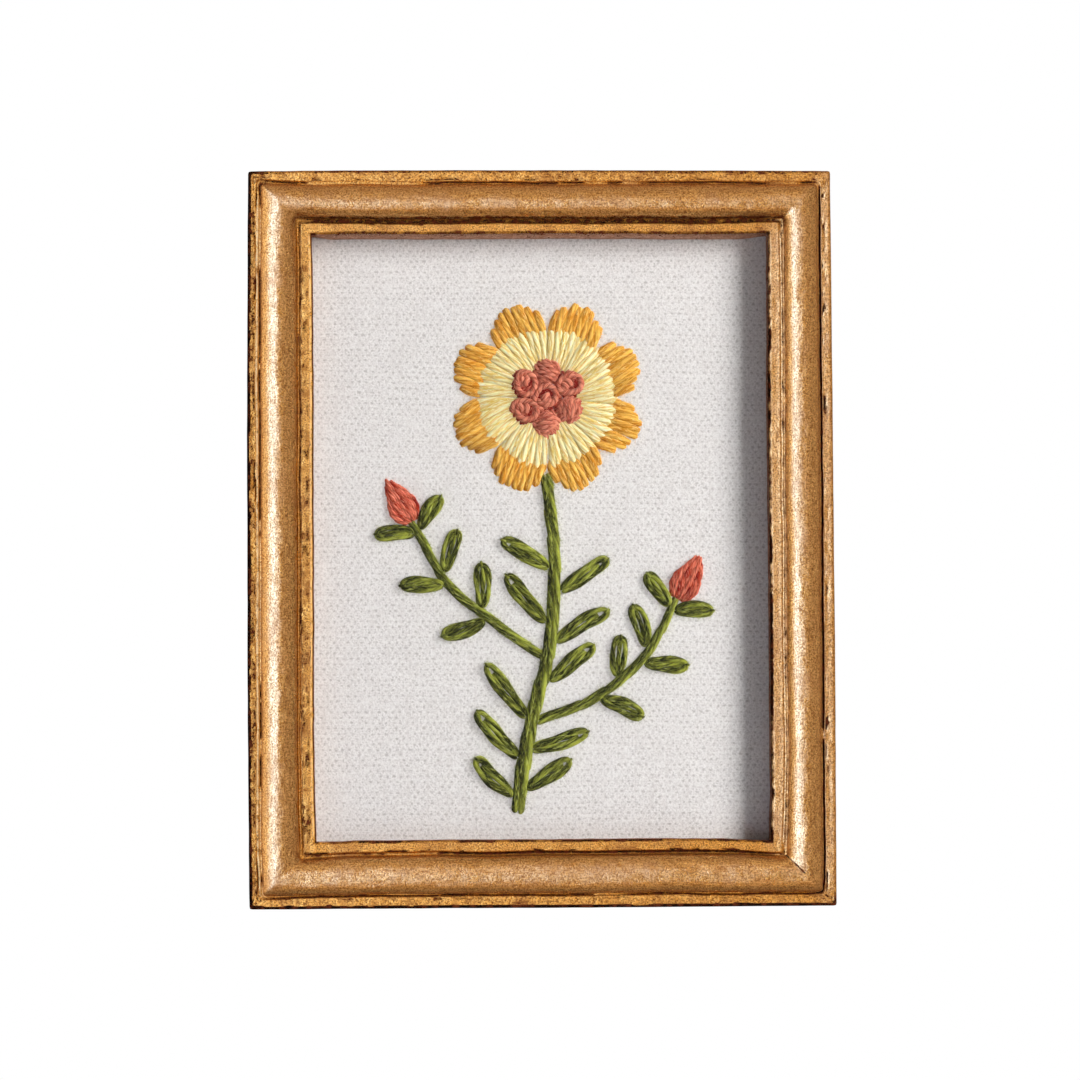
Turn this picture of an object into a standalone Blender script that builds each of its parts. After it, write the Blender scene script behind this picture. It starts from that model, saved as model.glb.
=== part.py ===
"""A small wall picture: a mitred, beaded wooden frame around a stretched linen panel worked in wool.

Metres, +Z up. The picture faces -Y. The origin is the middle of the top rail's rear face, where a
wall meets it.
"""
import math
from collections import namedtuple

import bmesh
import bpy
from mathutils import Vector

MM = 0.001
SHARP_ANGLE = math.radians(50)  # smooth pieces keep an edge where their faces turn more than this

# Frame, seen from the front
FRAME_WIDTH = 127.0 * MM
FRAME_HEIGHT = 160.0 * MM
RAIL_WIDTH = 14.1 * MM
RAIL_BACK_WIDTH = 9.0 * MM      # what is left of a rail behind, beside the rabbet
MITRE_GAP = 0.3 * MM

# Frame, from the wall forward
LEDGE_DEPTH = 15.0 * MM         # front of both ledges
LIP_DEPTH = 8.8 * MM            # rear face of the lip that holds the linen
BEAD_RISE = 3.2 * MM
GROOVE_DEPTH = 0.7 * MM

# Frame, across a rail from its outer edge
OUTER_LEDGE = 1.95 * MM
OUTER_GROOVE = 0.35 * MM
BEAD_WIDTH = 8.9 * MM
INNER_GROOVE = 0.5 * MM
BEAD_STEPS = 12

# Linen and the board behind it
FIT_GAP = 0.3 * MM
LINEN_THICKNESS = 1.0 * MM
BOARD_THICKNESS = 3.0 * MM

# Flower head, around its own middle
FLOWER_X = 1.5 * MM
FLOWER_Z = 31.0 * MM
FLOWER_RADIUS = 21.5 * MM
PETALS = 8
PETAL_TURN = math.radians(22.5)
PETAL_SPLIT = 16.0 * MM         # radius where the pale stitches meet the gold ones
PETAL_TIP_HALF_WIDTH = 0.5 * MM
PETAL_END_DROP = 0.45           # share of its height that a petal's stitches lose at their ends
PALE_RIDGES = 7
GOLD_RIDGES = 9
PALE_HEIGHT = 1.1 * MM
GOLD_HEIGHT = 1.3 * MM
PALE_STEPS = 4
GOLD_STEPS = 6
KNOT_RADIUS = 2.85 * MM
KNOT_HEIGHT = 2.4 * MM
KNOT_TURNS = 2
KNOT_RIDGE = 0.12               # height of the coil's ridge, as a share of the knot's height
KNOT_CROWN = 0.88               # height of the dome under the ridge, as a share of the knot's height
KNOT_RINGS = 6
KNOT_SIDES = 18
KNOT_CROWN_WIDTH = 3.2          # power of the distance from the middle: higher makes a wider crown
KNOT_SHOULDER = 0.75            # under 1 makes a knot's rim steeper
KNOTS_ROUND = 6
KNOTS_TURN = math.radians(90)   # where the first of the outer knots sits
KNOT_START_STEP = 1.1           # each knot's coil starts this many radians after the last one's

# Stems
STEM_HALF_WIDTH = 1.55 * MM
STEM_HEIGHT = 1.5 * MM
STALK_HALF_WIDTH = 1.1 * MM
STALK_HEIGHT = 1.2 * MM
STITCH_LENGTH = 4.4 * MM        # length of one stem stitch
STITCH_SWELL = 0.07             # share by which a stitch swells at its middle
STEM_STEP = 1.1 * MM            # length of one facet along a stem
STEM_TAPER = 0.18               # share of its width that a stem loses from foot to top
STEM_RIDGES = 2

# Leaves and buds
LEAF_HALF_WIDTH = 1.95 * MM
LEAF_HEIGHT = 1.1 * MM
LEAF_END_HALF_WIDTH = 0.3 * MM
LEAF_END_HEIGHT = 0.55          # height at a leaf's ends, as a share of its full height
LEAF_ROUNDNESS = 0.55           # under 1 makes a leaf blunter at its ends
LEAF_STAND_OFF = 0.5 * MM       # from a stem's side gap to a leaf's base
LEAF_RIDGES = 2
LEAF_STEPS = 8
BUD_LENGTH = 11.5 * MM
BUD_HALF_WIDTH = 3.6 * MM
BUD_HEIGHT = 1.9 * MM
BUD_RIDGES = 5
BUD_STEPS = 8
BUD_START = 0.10                # the arc of a sine that gives a bud's outline
BUD_ARC = 0.87
BUD_ROUNDNESS = 0.8             # under 1 makes a bud fuller, and widest nearer to its base
BUD_END_HEIGHT = 0.35           # height at a bud's ends, as a share of its full height

# Yarns side by side, heights as shares of a band's full height
RIDGE_LOW = 0.35                # ridge of the outermost yarn
VALLEY = 0.72                   # valley between yarns, against the dome over them

# Worked-out places
CENTRE_Z = RAIL_BACK_WIDTH / 2 - FRAME_HEIGHT / 2
LINEN_FRONT = LIP_DEPTH - FIT_GAP
SEAT = FIT_GAP                  # height of the stitches' undersides above the linen
CLUSTER_RADIUS = 2 * KNOT_RADIUS + FIT_GAP + KNOT_RADIUS

# Routes of the stems, in millimetres from the linen's centre: x, z
STEM_ROUTE = [(-5.5, -59.5), (-3.2, -44.0), (1.2, -26.0), (3.0, -9.0), (1.6, 12.4)]
LEFT_ROUTE = [(-1.3, -24.6), (-10.0, -18.5), (-20.5, -9.5), (-28.0, 3.5)]
RIGHT_ROUTE = [(0.6, -39.1), (11.0, -35.0), (22.0, -26.5), (29.5, -13.5)]

# Leaves: route, place along it from 0 to 1, side (1 left, -1 right), spread in degrees, length in mm
LeafRow = namedtuple("LeafRow", "route place side spread length")
LEAF_ROWS = [
    LeafRow("stem", 0.057, 1, 52, 11.0),
    LeafRow("stem", 0.085, -1, 50, 11.0),
    LeafRow("stem", 0.171, 1, 50, 13.0),
    LeafRow("stem", 0.199, -1, 62, 12.5),
    LeafRow("stem", 0.294, 1, 52, 14.0),
    LeafRow("stem", 0.417, -1, 38, 12.0),
    LeafRow("stem", 0.531, -1, 50, 13.0),
    LeafRow("stem", 0.588, 1, 46, 13.0),
    LeafRow("stem", 0.682, -1, 54, 12.0),
    LeafRow("stem", 0.749, 1, 56, 11.5),
    LeafRow("left", 0.34, 1, 56, 9.5),
    LeafRow("left", 0.40, -1, 52, 9.5),
    LeafRow("left", 0.64, 1, 54, 9.0),
    LeafRow("left", 0.70, -1, 50, 9.0),
    LeafRow("left", 0.96, 1, 62, 8.0),
    LeafRow("left", 0.97, -1, 62, 8.0),
    LeafRow("right", 0.34, -1, 56, 9.5),
    LeafRow("right", 0.48, 1, 46, 8.5),
    LeafRow("right", 0.64, -1, 54, 9.0),
    LeafRow("right", 0.72, 1, 50, 9.0),
    LeafRow("right", 0.96, -1, 62, 8.0),
    LeafRow("right", 0.97, 1, 62, 8.0),
]

Station = namedtuple("Station", "x z turn half_width height")


def clear_scene():
    for old in list(bpy.data.objects):
        bpy.data.objects.remove(old, do_unlink=True)


def material(name, colour, roughness, metallic=0.0):
    made = bpy.data.materials.new(name)
    made.use_nodes = True
    shader = made.node_tree.nodes["Principled BSDF"]
    shader.inputs["Base Color"].default_value = (*colour, 1.0)
    shader.inputs["Roughness"].default_value = roughness
    shader.inputs["Metallic"].default_value = metallic
    return made


def add_object(name, bm, finish, smooth=False):
    bmesh.ops.recalc_face_normals(bm, faces=bm.faces)
    mesh = bpy.data.meshes.new(name)
    bm.to_mesh(mesh)
    bm.free()
    mesh.materials.append(finish)
    if smooth:
        mesh.shade_smooth()
        mesh.set_sharp_from_angle(angle=SHARP_ANGLE)
    made = bpy.data.objects.new(name, mesh)
    bpy.context.scene.collection.objects.link(made)
    return made


def linen_point(x, z, height):
    """A place on the needlework: x and z from the linen's centre, height above its face."""
    return Vector((x, -(LINEN_FRONT + height), CENTRE_Z + z))


def rail_profile():
    """The rail's section as (distance in from the outer edge, depth from the wall)."""
    bead_start = OUTER_LEDGE + OUTER_GROOVE
    bead_end = bead_start + BEAD_WIDTH
    bead_foot = LEDGE_DEPTH - GROOVE_DEPTH / 2
    section = [(0.0, 0.0), (0.0, LEDGE_DEPTH), (OUTER_LEDGE, LEDGE_DEPTH)]
    section.append((bead_start - OUTER_GROOVE / 2, LEDGE_DEPTH - GROOVE_DEPTH))
    for step in range(BEAD_STEPS + 1):
        angle = math.pi * (1 - step / BEAD_STEPS)
        across = bead_start + BEAD_WIDTH / 2 * (1 + math.cos(angle))
        depth = bead_foot + (BEAD_RISE + GROOVE_DEPTH / 2) * math.sin(angle)
        section.append((across, depth))
    section.append((bead_end + INNER_GROOVE / 2, LEDGE_DEPTH - GROOVE_DEPTH))
    section.append((bead_end + INNER_GROOVE, LEDGE_DEPTH))
    section.append((RAIL_WIDTH, LEDGE_DEPTH))
    section.append((RAIL_WIDTH, LIP_DEPTH))
    section.append((RAIL_BACK_WIDTH, LIP_DEPTH))
    section.append((RAIL_BACK_WIDTH, 0.0))
    return section


def build_rail(name, outward, length, reach, finish):
    """One mitred rail. outward is its (x, z) side of the picture, reach its outer edge's distance."""
    along = (outward[1], -outward[0])
    trim = MITRE_GAP / 2 * math.sqrt(2)
    bm = bmesh.new()
    ends = []
    for end in (-1, 1):
        ring = []
        for across, depth in rail_profile():
            run = end * (length / 2 - across - trim)
            x = outward[0] * (reach - across) + along[0] * run
            z = outward[1] * (reach - across) + along[1] * run
            ring.append(bm.verts.new((x, -depth, CENTRE_Z + z)))
        ends.append(ring)
        bm.faces.new(ring)
    count = len(ends[0])
    for i in range(count):
        after = (i + 1) % count
        bm.faces.new((ends[0][i], ends[0][after], ends[1][after], ends[1][i]))
    return add_object(name, bm, finish, smooth=True)


def build_slab(name, width, height, rear, thickness, finish):
    """A flat rectangular sheet, its rear face at the given depth from the wall."""
    bm = bmesh.new()
    bmesh.ops.create_cube(bm, size=1.0)
    bmesh.ops.scale(bm, vec=(width, thickness, height), verts=bm.verts)
    bmesh.ops.translate(bm, vec=(0.0, -(rear + thickness / 2), CENTRE_Z), verts=bm.verts)
    return add_object(name, bm, finish)


def ridge_height(column, ridges):
    """Height, from 0 to 1, of a band's column: a dome with one ridge for each yarn."""
    across = column / ridges - 1
    dome = math.sqrt(max(0.0, 1 - across * across))
    if column % 2:
        return RIDGE_LOW + (1 - RIDGE_LOW) * dome
    return VALLEY * dome


def build_band(name, stations, ridges, finish):
    """Yarns laid side by side: a ridged upper face over a flat underside."""
    columns = 2 * ridges
    bm = bmesh.new()
    rings = []
    for spot in stations:
        side = (-math.sin(spot.turn), math.cos(spot.turn))
        ring = []
        for column in range(columns + 1):
            across = (column / ridges - 1) * spot.half_width
            rise = SEAT + spot.height * ridge_height(column, ridges)
            x, z = spot.x + side[0] * across, spot.z + side[1] * across
            ring.append(bm.verts.new(linen_point(x, z, rise)))
        rings.append(ring)
    for near, far in zip(rings, rings[1:]):
        for i in range(columns):
            bm.faces.new((near[i], near[i + 1], far[i + 1], far[i]))
        bm.faces.new((near[0], far[0], far[-1], near[-1]))
    bm.faces.new(rings[0])
    bm.faces.new(rings[-1])
    return add_object(name, bm, finish)


def smooth_route(corners, step):
    """Points about one step apart on a smooth curve through the corners, in metres."""
    points = [Vector(corner) * MM for corner in corners]
    first = points[0] * 2 - points[1]
    last = points[-1] * 2 - points[-2]
    padded = [first] + points + [last]
    route = []
    for i in range(1, len(padded) - 2):
        before, start, end, after = padded[i - 1:i + 3]
        pieces = max(2, round((end - start).length / step))
        for k in range(pieces):
            t = k / pieces
            route.append(0.5 * (2 * start + (end - before) * t
                                + (2 * before - 5 * start + 4 * end - after) * t * t
                                + (3 * start - before - 3 * end + after) * t * t * t))
    route.append(points[-1])
    return route


def place_on(route, place):
    """The point at a share of the route's length, and the route's direction there."""
    lengths = [(b - a).length for a, b in zip(route, route[1:])]
    left = place * sum(lengths)
    for i, length in enumerate(lengths):
        if left <= length or i == len(lengths) - 1:
            run = route[i + 1] - route[i]
            return route[i] + run * min(1.0, left / length), math.atan2(run.y, run.x)
        left -= length


def stem_stations(route, half_width, height):
    """A stem that narrows a little upward, with a swell at the middle of each stitch."""
    stations = []
    run = 0.0
    for i, point in enumerate(route):
        before = route[max(0, i - 1)]
        after = route[min(len(route) - 1, i + 1)]
        run += (point - before).length
        turn = math.atan2(after.y - before.y, after.x - before.x)
        swell = 1 - STITCH_SWELL + STITCH_SWELL * math.cos(2 * math.pi * run / STITCH_LENGTH)
        narrow = 1 - STEM_TAPER * i / (len(route) - 1)
        stations.append(Station(point.x, point.y, turn, half_width * narrow * swell, height * swell))
    return stations


def leaf_stations(base, turn, length):
    """A leaf from its base outward: narrow at the stem, full in the middle, blunt at the tip."""
    stations = []
    for i in range(LEAF_STEPS + 1):
        t = i / LEAF_STEPS
        full = (4 * t * (1 - t)) ** LEAF_ROUNDNESS
        half_width = LEAF_END_HALF_WIDTH + (LEAF_HALF_WIDTH - LEAF_END_HALF_WIDTH) * full
        height = LEAF_HEIGHT * (LEAF_END_HEIGHT + (1 - LEAF_END_HEIGHT) * full)
        point = base + Vector((math.cos(turn), math.sin(turn))) * length * t
        stations.append(Station(point.x, point.y, turn, half_width, height))
    return stations


def bud_stations(base, turn):
    """A bud from its base to its pointed top, widest a third of the way up."""
    stations = []
    for i in range(BUD_STEPS + 1):
        t = i / BUD_STEPS
        full = math.sin(math.pi * (BUD_START + BUD_ARC * t ** BUD_ROUNDNESS)) ** BUD_ROUNDNESS
        height = BUD_HEIGHT * (BUD_END_HEIGHT + (1 - BUD_END_HEIGHT) * full)
        point = base + Vector((math.cos(turn), math.sin(turn))) * BUD_LENGTH * t
        stations.append(Station(point.x, point.y, turn, BUD_HALF_WIDTH * full, height))
    return stations


def petal_half_width(radius):
    """Half a petal's width at a radius: straight sides beside its neighbours, then a round tip."""
    half_angle = math.pi / PETALS
    tip = FLOWER_RADIUS * math.sin(half_angle) / (1 + math.sin(half_angle))
    tip_middle = FLOWER_RADIUS - tip
    if radius < tip_middle * math.cos(half_angle) ** 2:
        full = radius * math.tan(half_angle)
    else:
        full = math.sqrt(max(0.0, tip * tip - (radius - tip_middle) ** 2))
    return full - FIT_GAP / 2 / math.cos(half_angle)


def petal_stations(turn, inner, outer, height, steps):
    """Part of a petal between two radii, its stations closer together towards the outer end."""
    stations = []
    for i in range(steps + 1):
        t = math.sin(math.pi / 2 * i / steps)
        radius = inner + (outer - inner) * t
        half_width = max(PETAL_TIP_HALF_WIDTH, petal_half_width(radius))
        low_end = 1 - PETAL_END_DROP * (2 * t - 1) ** 4
        x = FLOWER_X + math.cos(turn) * radius
        z = FLOWER_Z + math.sin(turn) * radius
        stations.append(Station(x, z, turn, half_width, height * low_end))
    return stations


def build_knot(name, x, z, start, finish):
    """A coiled knot: a dome with a spiral ridge on it."""
    bm = bmesh.new()
    top = bm.verts.new(linen_point(x, z, SEAT + KNOT_HEIGHT * KNOT_CROWN))
    loops = []
    for ring in range(1, KNOT_RINGS + 1):
        share = ring / KNOT_RINGS
        loop = []
        for side in range(KNOT_SIDES):
            angle = 2 * math.pi * side / KNOT_SIDES
            phase = 2 * math.pi * KNOT_TURNS * share - angle + start
            dome = (1 - share ** KNOT_CROWN_WIDTH) ** KNOT_SHOULDER
            ridge = KNOT_RIDGE * math.cos(phase) * math.sin(math.pi * share)
            px = x + math.cos(angle) * KNOT_RADIUS * share
            pz = z + math.sin(angle) * KNOT_RADIUS * share
            rise = SEAT + KNOT_HEIGHT * (KNOT_CROWN * dome + ridge)
            loop.append(bm.verts.new(linen_point(px, pz, rise)))
        loops.append(loop)
    for i in range(KNOT_SIDES):
        after = (i + 1) % KNOT_SIDES
        bm.faces.new((top, loops[0][i], loops[0][after]))
        for inner, outer in zip(loops, loops[1:]):
            bm.faces.new((inner[i], outer[i], outer[after], inner[after]))
    bm.faces.new(loops[-1])
    return add_object(name, bm, finish, smooth=True)


def build_frame(gilt):
    half_width = FRAME_WIDTH / 2
    half_height = FRAME_HEIGHT / 2
    build_rail("rail_top", (0, 1), FRAME_WIDTH, half_height, gilt)
    build_rail("rail_bottom", (0, -1), FRAME_WIDTH, half_height, gilt)
    build_rail("rail_left", (-1, 0), FRAME_HEIGHT, half_width, gilt)
    build_rail("rail_right", (1, 0), FRAME_HEIGHT, half_width, gilt)


def build_panel(linen, board):
    width = FRAME_WIDTH - 2 * (RAIL_BACK_WIDTH + FIT_GAP)
    height = FRAME_HEIGHT - 2 * (RAIL_BACK_WIDTH + FIT_GAP)
    linen_rear = LINEN_FRONT - LINEN_THICKNESS
    board_rear = linen_rear - FIT_GAP - BOARD_THICKNESS
    build_slab("linen_panel", width, height, linen_rear, LINEN_THICKNESS, linen)
    build_slab("backing_board", width, height, board_rear, BOARD_THICKNESS, board)


def build_flower(pale, gold, coral):
    for i in range(PETALS):
        turn = PETAL_TURN + 2 * math.pi * i / PETALS
        pale_end = PETAL_SPLIT - FIT_GAP / 2
        gold_start = PETAL_SPLIT + FIT_GAP / 2
        inner = petal_stations(turn, CLUSTER_RADIUS + FIT_GAP, pale_end, PALE_HEIGHT, PALE_STEPS)
        outer = petal_stations(turn, gold_start, FLOWER_RADIUS, GOLD_HEIGHT, GOLD_STEPS)
        build_band(f"petal_{i + 1}_pale", inner, PALE_RIDGES, pale)
        build_band(f"petal_{i + 1}_gold", outer, GOLD_RIDGES, gold)
    build_knot("knot_0", FLOWER_X, FLOWER_Z, 0.0, coral)
    for i in range(KNOTS_ROUND):
        turn = KNOTS_TURN + 2 * math.pi * i / KNOTS_ROUND
        reach = 2 * KNOT_RADIUS + FIT_GAP
        x = FLOWER_X + math.cos(turn) * reach
        z = FLOWER_Z + math.sin(turn) * reach
        build_knot(f"knot_{i + 1}", x, z, KNOT_START_STEP * i, coral)


def build_stems(green):
    routes = {
        "stem": smooth_route(STEM_ROUTE, STEM_STEP),
        "left": smooth_route(LEFT_ROUTE, STEM_STEP),
        "right": smooth_route(RIGHT_ROUTE, STEM_STEP),
    }
    main_stem = stem_stations(routes["stem"], STEM_HALF_WIDTH, STEM_HEIGHT)
    left_stalk = stem_stations(routes["left"], STALK_HALF_WIDTH, STALK_HEIGHT)
    right_stalk = stem_stations(routes["right"], STALK_HALF_WIDTH, STALK_HEIGHT)
    build_band("stem_main", main_stem, STEM_RIDGES, green)
    build_band("stalk_left", left_stalk, STEM_RIDGES, green)
    build_band("stalk_right", right_stalk, STEM_RIDGES, green)
    return routes


def build_leaves(routes, green):
    for i, row in enumerate(LEAF_ROWS):
        point, turn = place_on(routes[row.route], row.place)
        stem_half = STEM_HALF_WIDTH if row.route == "stem" else STALK_HALF_WIDTH
        off = stem_half + FIT_GAP + LEAF_STAND_OFF
        base = point + Vector((-math.sin(turn), math.cos(turn))) * row.side * off
        leaf_turn = turn + row.side * math.radians(row.spread)
        stations = leaf_stations(base, leaf_turn, row.length * MM)
        build_band(f"leaf_{i + 1:02d}", stations, LEAF_RIDGES, green)


def build_buds(routes, coral):
    for side in ("left", "right"):
        end, turn = place_on(routes[side], 1.0)
        base = end + Vector((math.cos(turn), math.sin(turn))) * FIT_GAP
        build_band(f"bud_{side}", bud_stations(base, turn), BUD_RIDGES, coral)


def main():
    clear_scene()
    gilt = material("gilt", (0.62, 0.38, 0.13), 0.42, 0.75)
    linen = material("linen", (0.84, 0.81, 0.77), 0.92)
    board = material("board", (0.36, 0.25, 0.16), 0.85)
    pale = material("pale_yarn", (0.86, 0.79, 0.47), 0.85)
    gold = material("gold_yarn", (0.78, 0.46, 0.11), 0.85)
    coral = material("coral_yarn", (0.60, 0.16, 0.09), 0.85)
    green = material("green_yarn", (0.13, 0.15, 0.03), 0.88)
    build_frame(gilt)
    build_panel(linen, board)
    build_flower(pale, gold, coral)
    routes = build_stems(green)
    build_leaves(routes, green)
    build_buds(routes, coral)


main()
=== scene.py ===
"""Looks of the framed embroidery: an antiqued gilt frame, plain-weave linen and wool stitches.

Metres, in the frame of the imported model: the picture faces -Y, +Z is up.
"""
import math
from collections import namedtuple

import bpy
import numpy as np
from mathutils import Matrix, Vector


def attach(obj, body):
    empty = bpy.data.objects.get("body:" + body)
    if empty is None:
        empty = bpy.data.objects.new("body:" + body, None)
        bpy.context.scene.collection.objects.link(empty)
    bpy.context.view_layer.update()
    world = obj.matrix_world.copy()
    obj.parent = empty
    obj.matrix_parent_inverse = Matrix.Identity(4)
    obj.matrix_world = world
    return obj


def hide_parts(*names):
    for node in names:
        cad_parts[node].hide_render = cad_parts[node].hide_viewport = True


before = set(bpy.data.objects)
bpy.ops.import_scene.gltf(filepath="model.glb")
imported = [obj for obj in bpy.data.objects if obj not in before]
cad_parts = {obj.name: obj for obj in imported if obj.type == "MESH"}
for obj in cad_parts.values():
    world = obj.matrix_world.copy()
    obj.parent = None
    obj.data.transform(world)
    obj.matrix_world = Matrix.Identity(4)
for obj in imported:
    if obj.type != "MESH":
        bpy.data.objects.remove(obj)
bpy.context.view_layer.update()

MM = 0.001
TAU = 2 * math.pi

# Sizes of the frame and the linen, as in the solids
FRAME_WIDTH = 127.0 * MM
FRAME_HEIGHT = 160.0 * MM
RAIL_BACK_WIDTH = 9.0 * MM
LEDGE_DEPTH = 15.0 * MM
LIP_DEPTH = 8.8 * MM
BEAD_RISE = 3.2 * MM
FIT_GAP = 0.3 * MM
LINEN_THICKNESS = 1.0 * MM
LINEN_FRONT = LIP_DEPTH - FIT_GAP
CENTRE_Z = RAIL_BACK_WIDTH / 2 - FRAME_HEIGHT / 2

# The photograph's camera: how it looks at the middle of the frame's front, and its lens
PHOTO_SIDE = 1080
CAMERA_DISTANCE = 0.800
CAMERA_YAW = math.radians(2.05)     # it stands left of the middle
CAMERA_PITCH = math.radians(2.49)   # it stands below the middle and looks up
CAMERA_ROLL = math.radians(-0.31)
FOCAL_PIXELS = 3689
AIM_X = -0.40 * MM
AIM_Z = -0.51 * MM


def smooth_noise(x, step, seed, period=None):
    """Smooth noise from -1 to 1 along x, a new value every step. With a period it repeats."""
    rng = np.random.default_rng(seed)
    table = rng.uniform(-1, 1, 4096)
    at = np.asarray(x, float) / step
    count = 4096 if period is None else max(1, int(round(period / step)))
    if period is not None:
        at = np.asarray(x, float) / period * count
    low = np.floor(at).astype(int)
    part = at - low
    part = part * part * (3 - 2 * part)
    return table[low % count] * (1 - part) + table[(low + 1) % count] * part


def smooth_noise_2d(x, y, step, seed):
    """Smooth noise from -1 to 1 over a plane."""
    rng = np.random.default_rng(seed)
    side = 256
    table = rng.uniform(-1, 1, (side, side))
    ax, ay = np.asarray(x, float) / step, np.asarray(y, float) / step
    lx, ly = np.floor(ax).astype(int), np.floor(ay).astype(int)
    px, py = ax - lx, ay - ly
    px, py = px * px * (3 - 2 * px), py * py * (3 - 2 * py)
    a, b = table[lx % side, ly % side], table[(lx + 1) % side, ly % side]
    c, d = table[lx % side, (ly + 1) % side], table[(lx + 1) % side, (ly + 1) % side]
    return (a * (1 - px) + b * px) * (1 - py) + (c * (1 - px) + d * px) * py


def smooth_step(low, high, x):
    t = np.clip((np.asarray(x, float) - low) / (high - low), 0, 1)
    return t * t * (3 - 2 * t)


def plane_noise(x, y, *rows):
    """Sum of noises over a plane; each row has a strength, a factor for y, a step in mm and a seed."""
    return sum(k * smooth_noise_2d(x, y * factor, step * MM, seed) for k, factor, step, seed in rows)


def bell(x, middle, width):
    return np.exp(-((x - middle) / width) ** 2)


def add_mesh(name, verts, faces, uvs=None, colours=None):
    """A smooth-shaded object from arrays; uvs and colours hold one row for each vertex."""
    mesh = bpy.data.meshes.new(name)
    mesh.from_pydata([tuple(v) for v in verts], [], faces)
    mesh.update()
    corners = np.empty(len(mesh.loops), dtype=np.int32)
    mesh.loops.foreach_get("vertex_index", corners)
    if uvs is not None:
        layer = mesh.uv_layers.new(name="grain")
        layer.data.foreach_set("uv", np.asarray(uvs, np.float32)[corners].ravel())
    if colours is not None:
        layer = mesh.color_attributes.new(name="marks", type="FLOAT_COLOR", domain="POINT")
        rows = np.ones((len(verts), 4), np.float32)
        rows[:, :3] = colours
        layer.data.foreach_set("color", rows.ravel())
    mesh.shade_smooth()
    made = bpy.data.objects.new(name, mesh)
    bpy.context.scene.collection.objects.link(made)
    return made


# Material helpers

class Shader:
    """A short way to write a node material round one Principled shader."""

    def __init__(self, name):
        self.material = bpy.data.materials.new(name)
        self.material.use_nodes = True
        self.tree = self.material.node_tree
        self.surface = self.tree.nodes["Principled BSDF"]

    def node(self, kind, inputs=None, **settings):
        made = self.tree.nodes.new(kind)
        for key, value in settings.items():
            setattr(made, key, value)
        for key, value in (inputs or {}).items():
            self.feed(made.inputs[key], value)
        return made

    def feed(self, socket, value):
        if isinstance(value, bpy.types.NodeSocket):
            self.tree.links.new(value, socket)
        elif isinstance(value, bpy.types.Node):
            self.tree.links.new(value.outputs[0], socket)
        else:
            socket.default_value = value

    def maths(self, operation, a, b=0.0, clamp=False):
        return self.node("ShaderNodeMath", {0: a, 1: b}, operation=operation, use_clamp=clamp).outputs[0]

    def plus(self, a, b, clamp=False):
        return self.maths("ADD", a, b, clamp)

    def minus(self, a, b, clamp=False):
        return self.maths("SUBTRACT", a, b, clamp)

    def times(self, a, b, clamp=False):
        return self.maths("MULTIPLY", a, b, clamp)

    def mix(self, share, a, b, blend="MIX"):
        a, b = ((*c, 1.0) if isinstance(c, tuple) else c for c in (a, b))
        rows = {0: share, 6: a, 7: b}
        return self.node("ShaderNodeMix", rows, data_type="RGBA", blend_type=blend).outputs[2]

    def steps(self, value, low, high, to_low=0.0, to_high=1.0):
        """A smooth step of the value from low to high, as a number from to_low to to_high."""
        rows = dict(enumerate((value, low, high, to_low, to_high)))
        return self.node("ShaderNodeMapRange", rows, interpolation_type="SMOOTHSTEP").outputs[0]

    def noise(self, vector, scale, detail=2.0, roughness=0.5):
        rows = {"Vector": vector, "Scale": scale, "Detail": detail, "Roughness": roughness}
        return self.node("ShaderNodeTexNoise", rows).outputs["Fac"]

    def stretch(self, vector, x, y):
        return self.node("ShaderNodeMapping", {"Vector": vector, "Scale": (x, y, 1.0)}).outputs["Vector"]

    def place(self):
        return self.node("ShaderNodeTexCoord").outputs["Object"]

    def grain(self):
        return self.node("ShaderNodeUVMap", uv_map="grain").outputs["UV"]

    def marks(self):
        found = self.node("ShaderNodeAttribute", attribute_name="marks")
        return self.node("ShaderNodeSeparateColor", {0: found.outputs["Color"]}).outputs[:3]

    def bump(self, height, strength, distance, normal=None):
        rows = {"Strength": strength, "Distance": distance, "Height": height}
        if normal is not None:
            rows["Normal"] = normal
        return self.node("ShaderNodeBump", rows).outputs["Normal"]

    def finish(self, colour, relief=None, **levels):
        """Puts a colour and a relief on the shader, sets its levels and gives the material."""
        self.feed(self.surface.inputs["Base Color"], colour)
        if relief is not None:
            self.feed(self.surface.inputs["Normal"], relief)
        for name, value in levels.items():
            self.surface.inputs[name.replace("_", " ")].default_value = value
        return self.material


def tone(red, green, blue):
    """A colour given as sRGB 0 to 255, as linear light."""
    out = []
    for value in (red, green, blue):
        share = value / 255
        out.append(share / 12.92 if share <= 0.04045 else ((share + 0.055) / 1.055) ** 2.4)
    return tuple(out)


# Gilt frame

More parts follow.
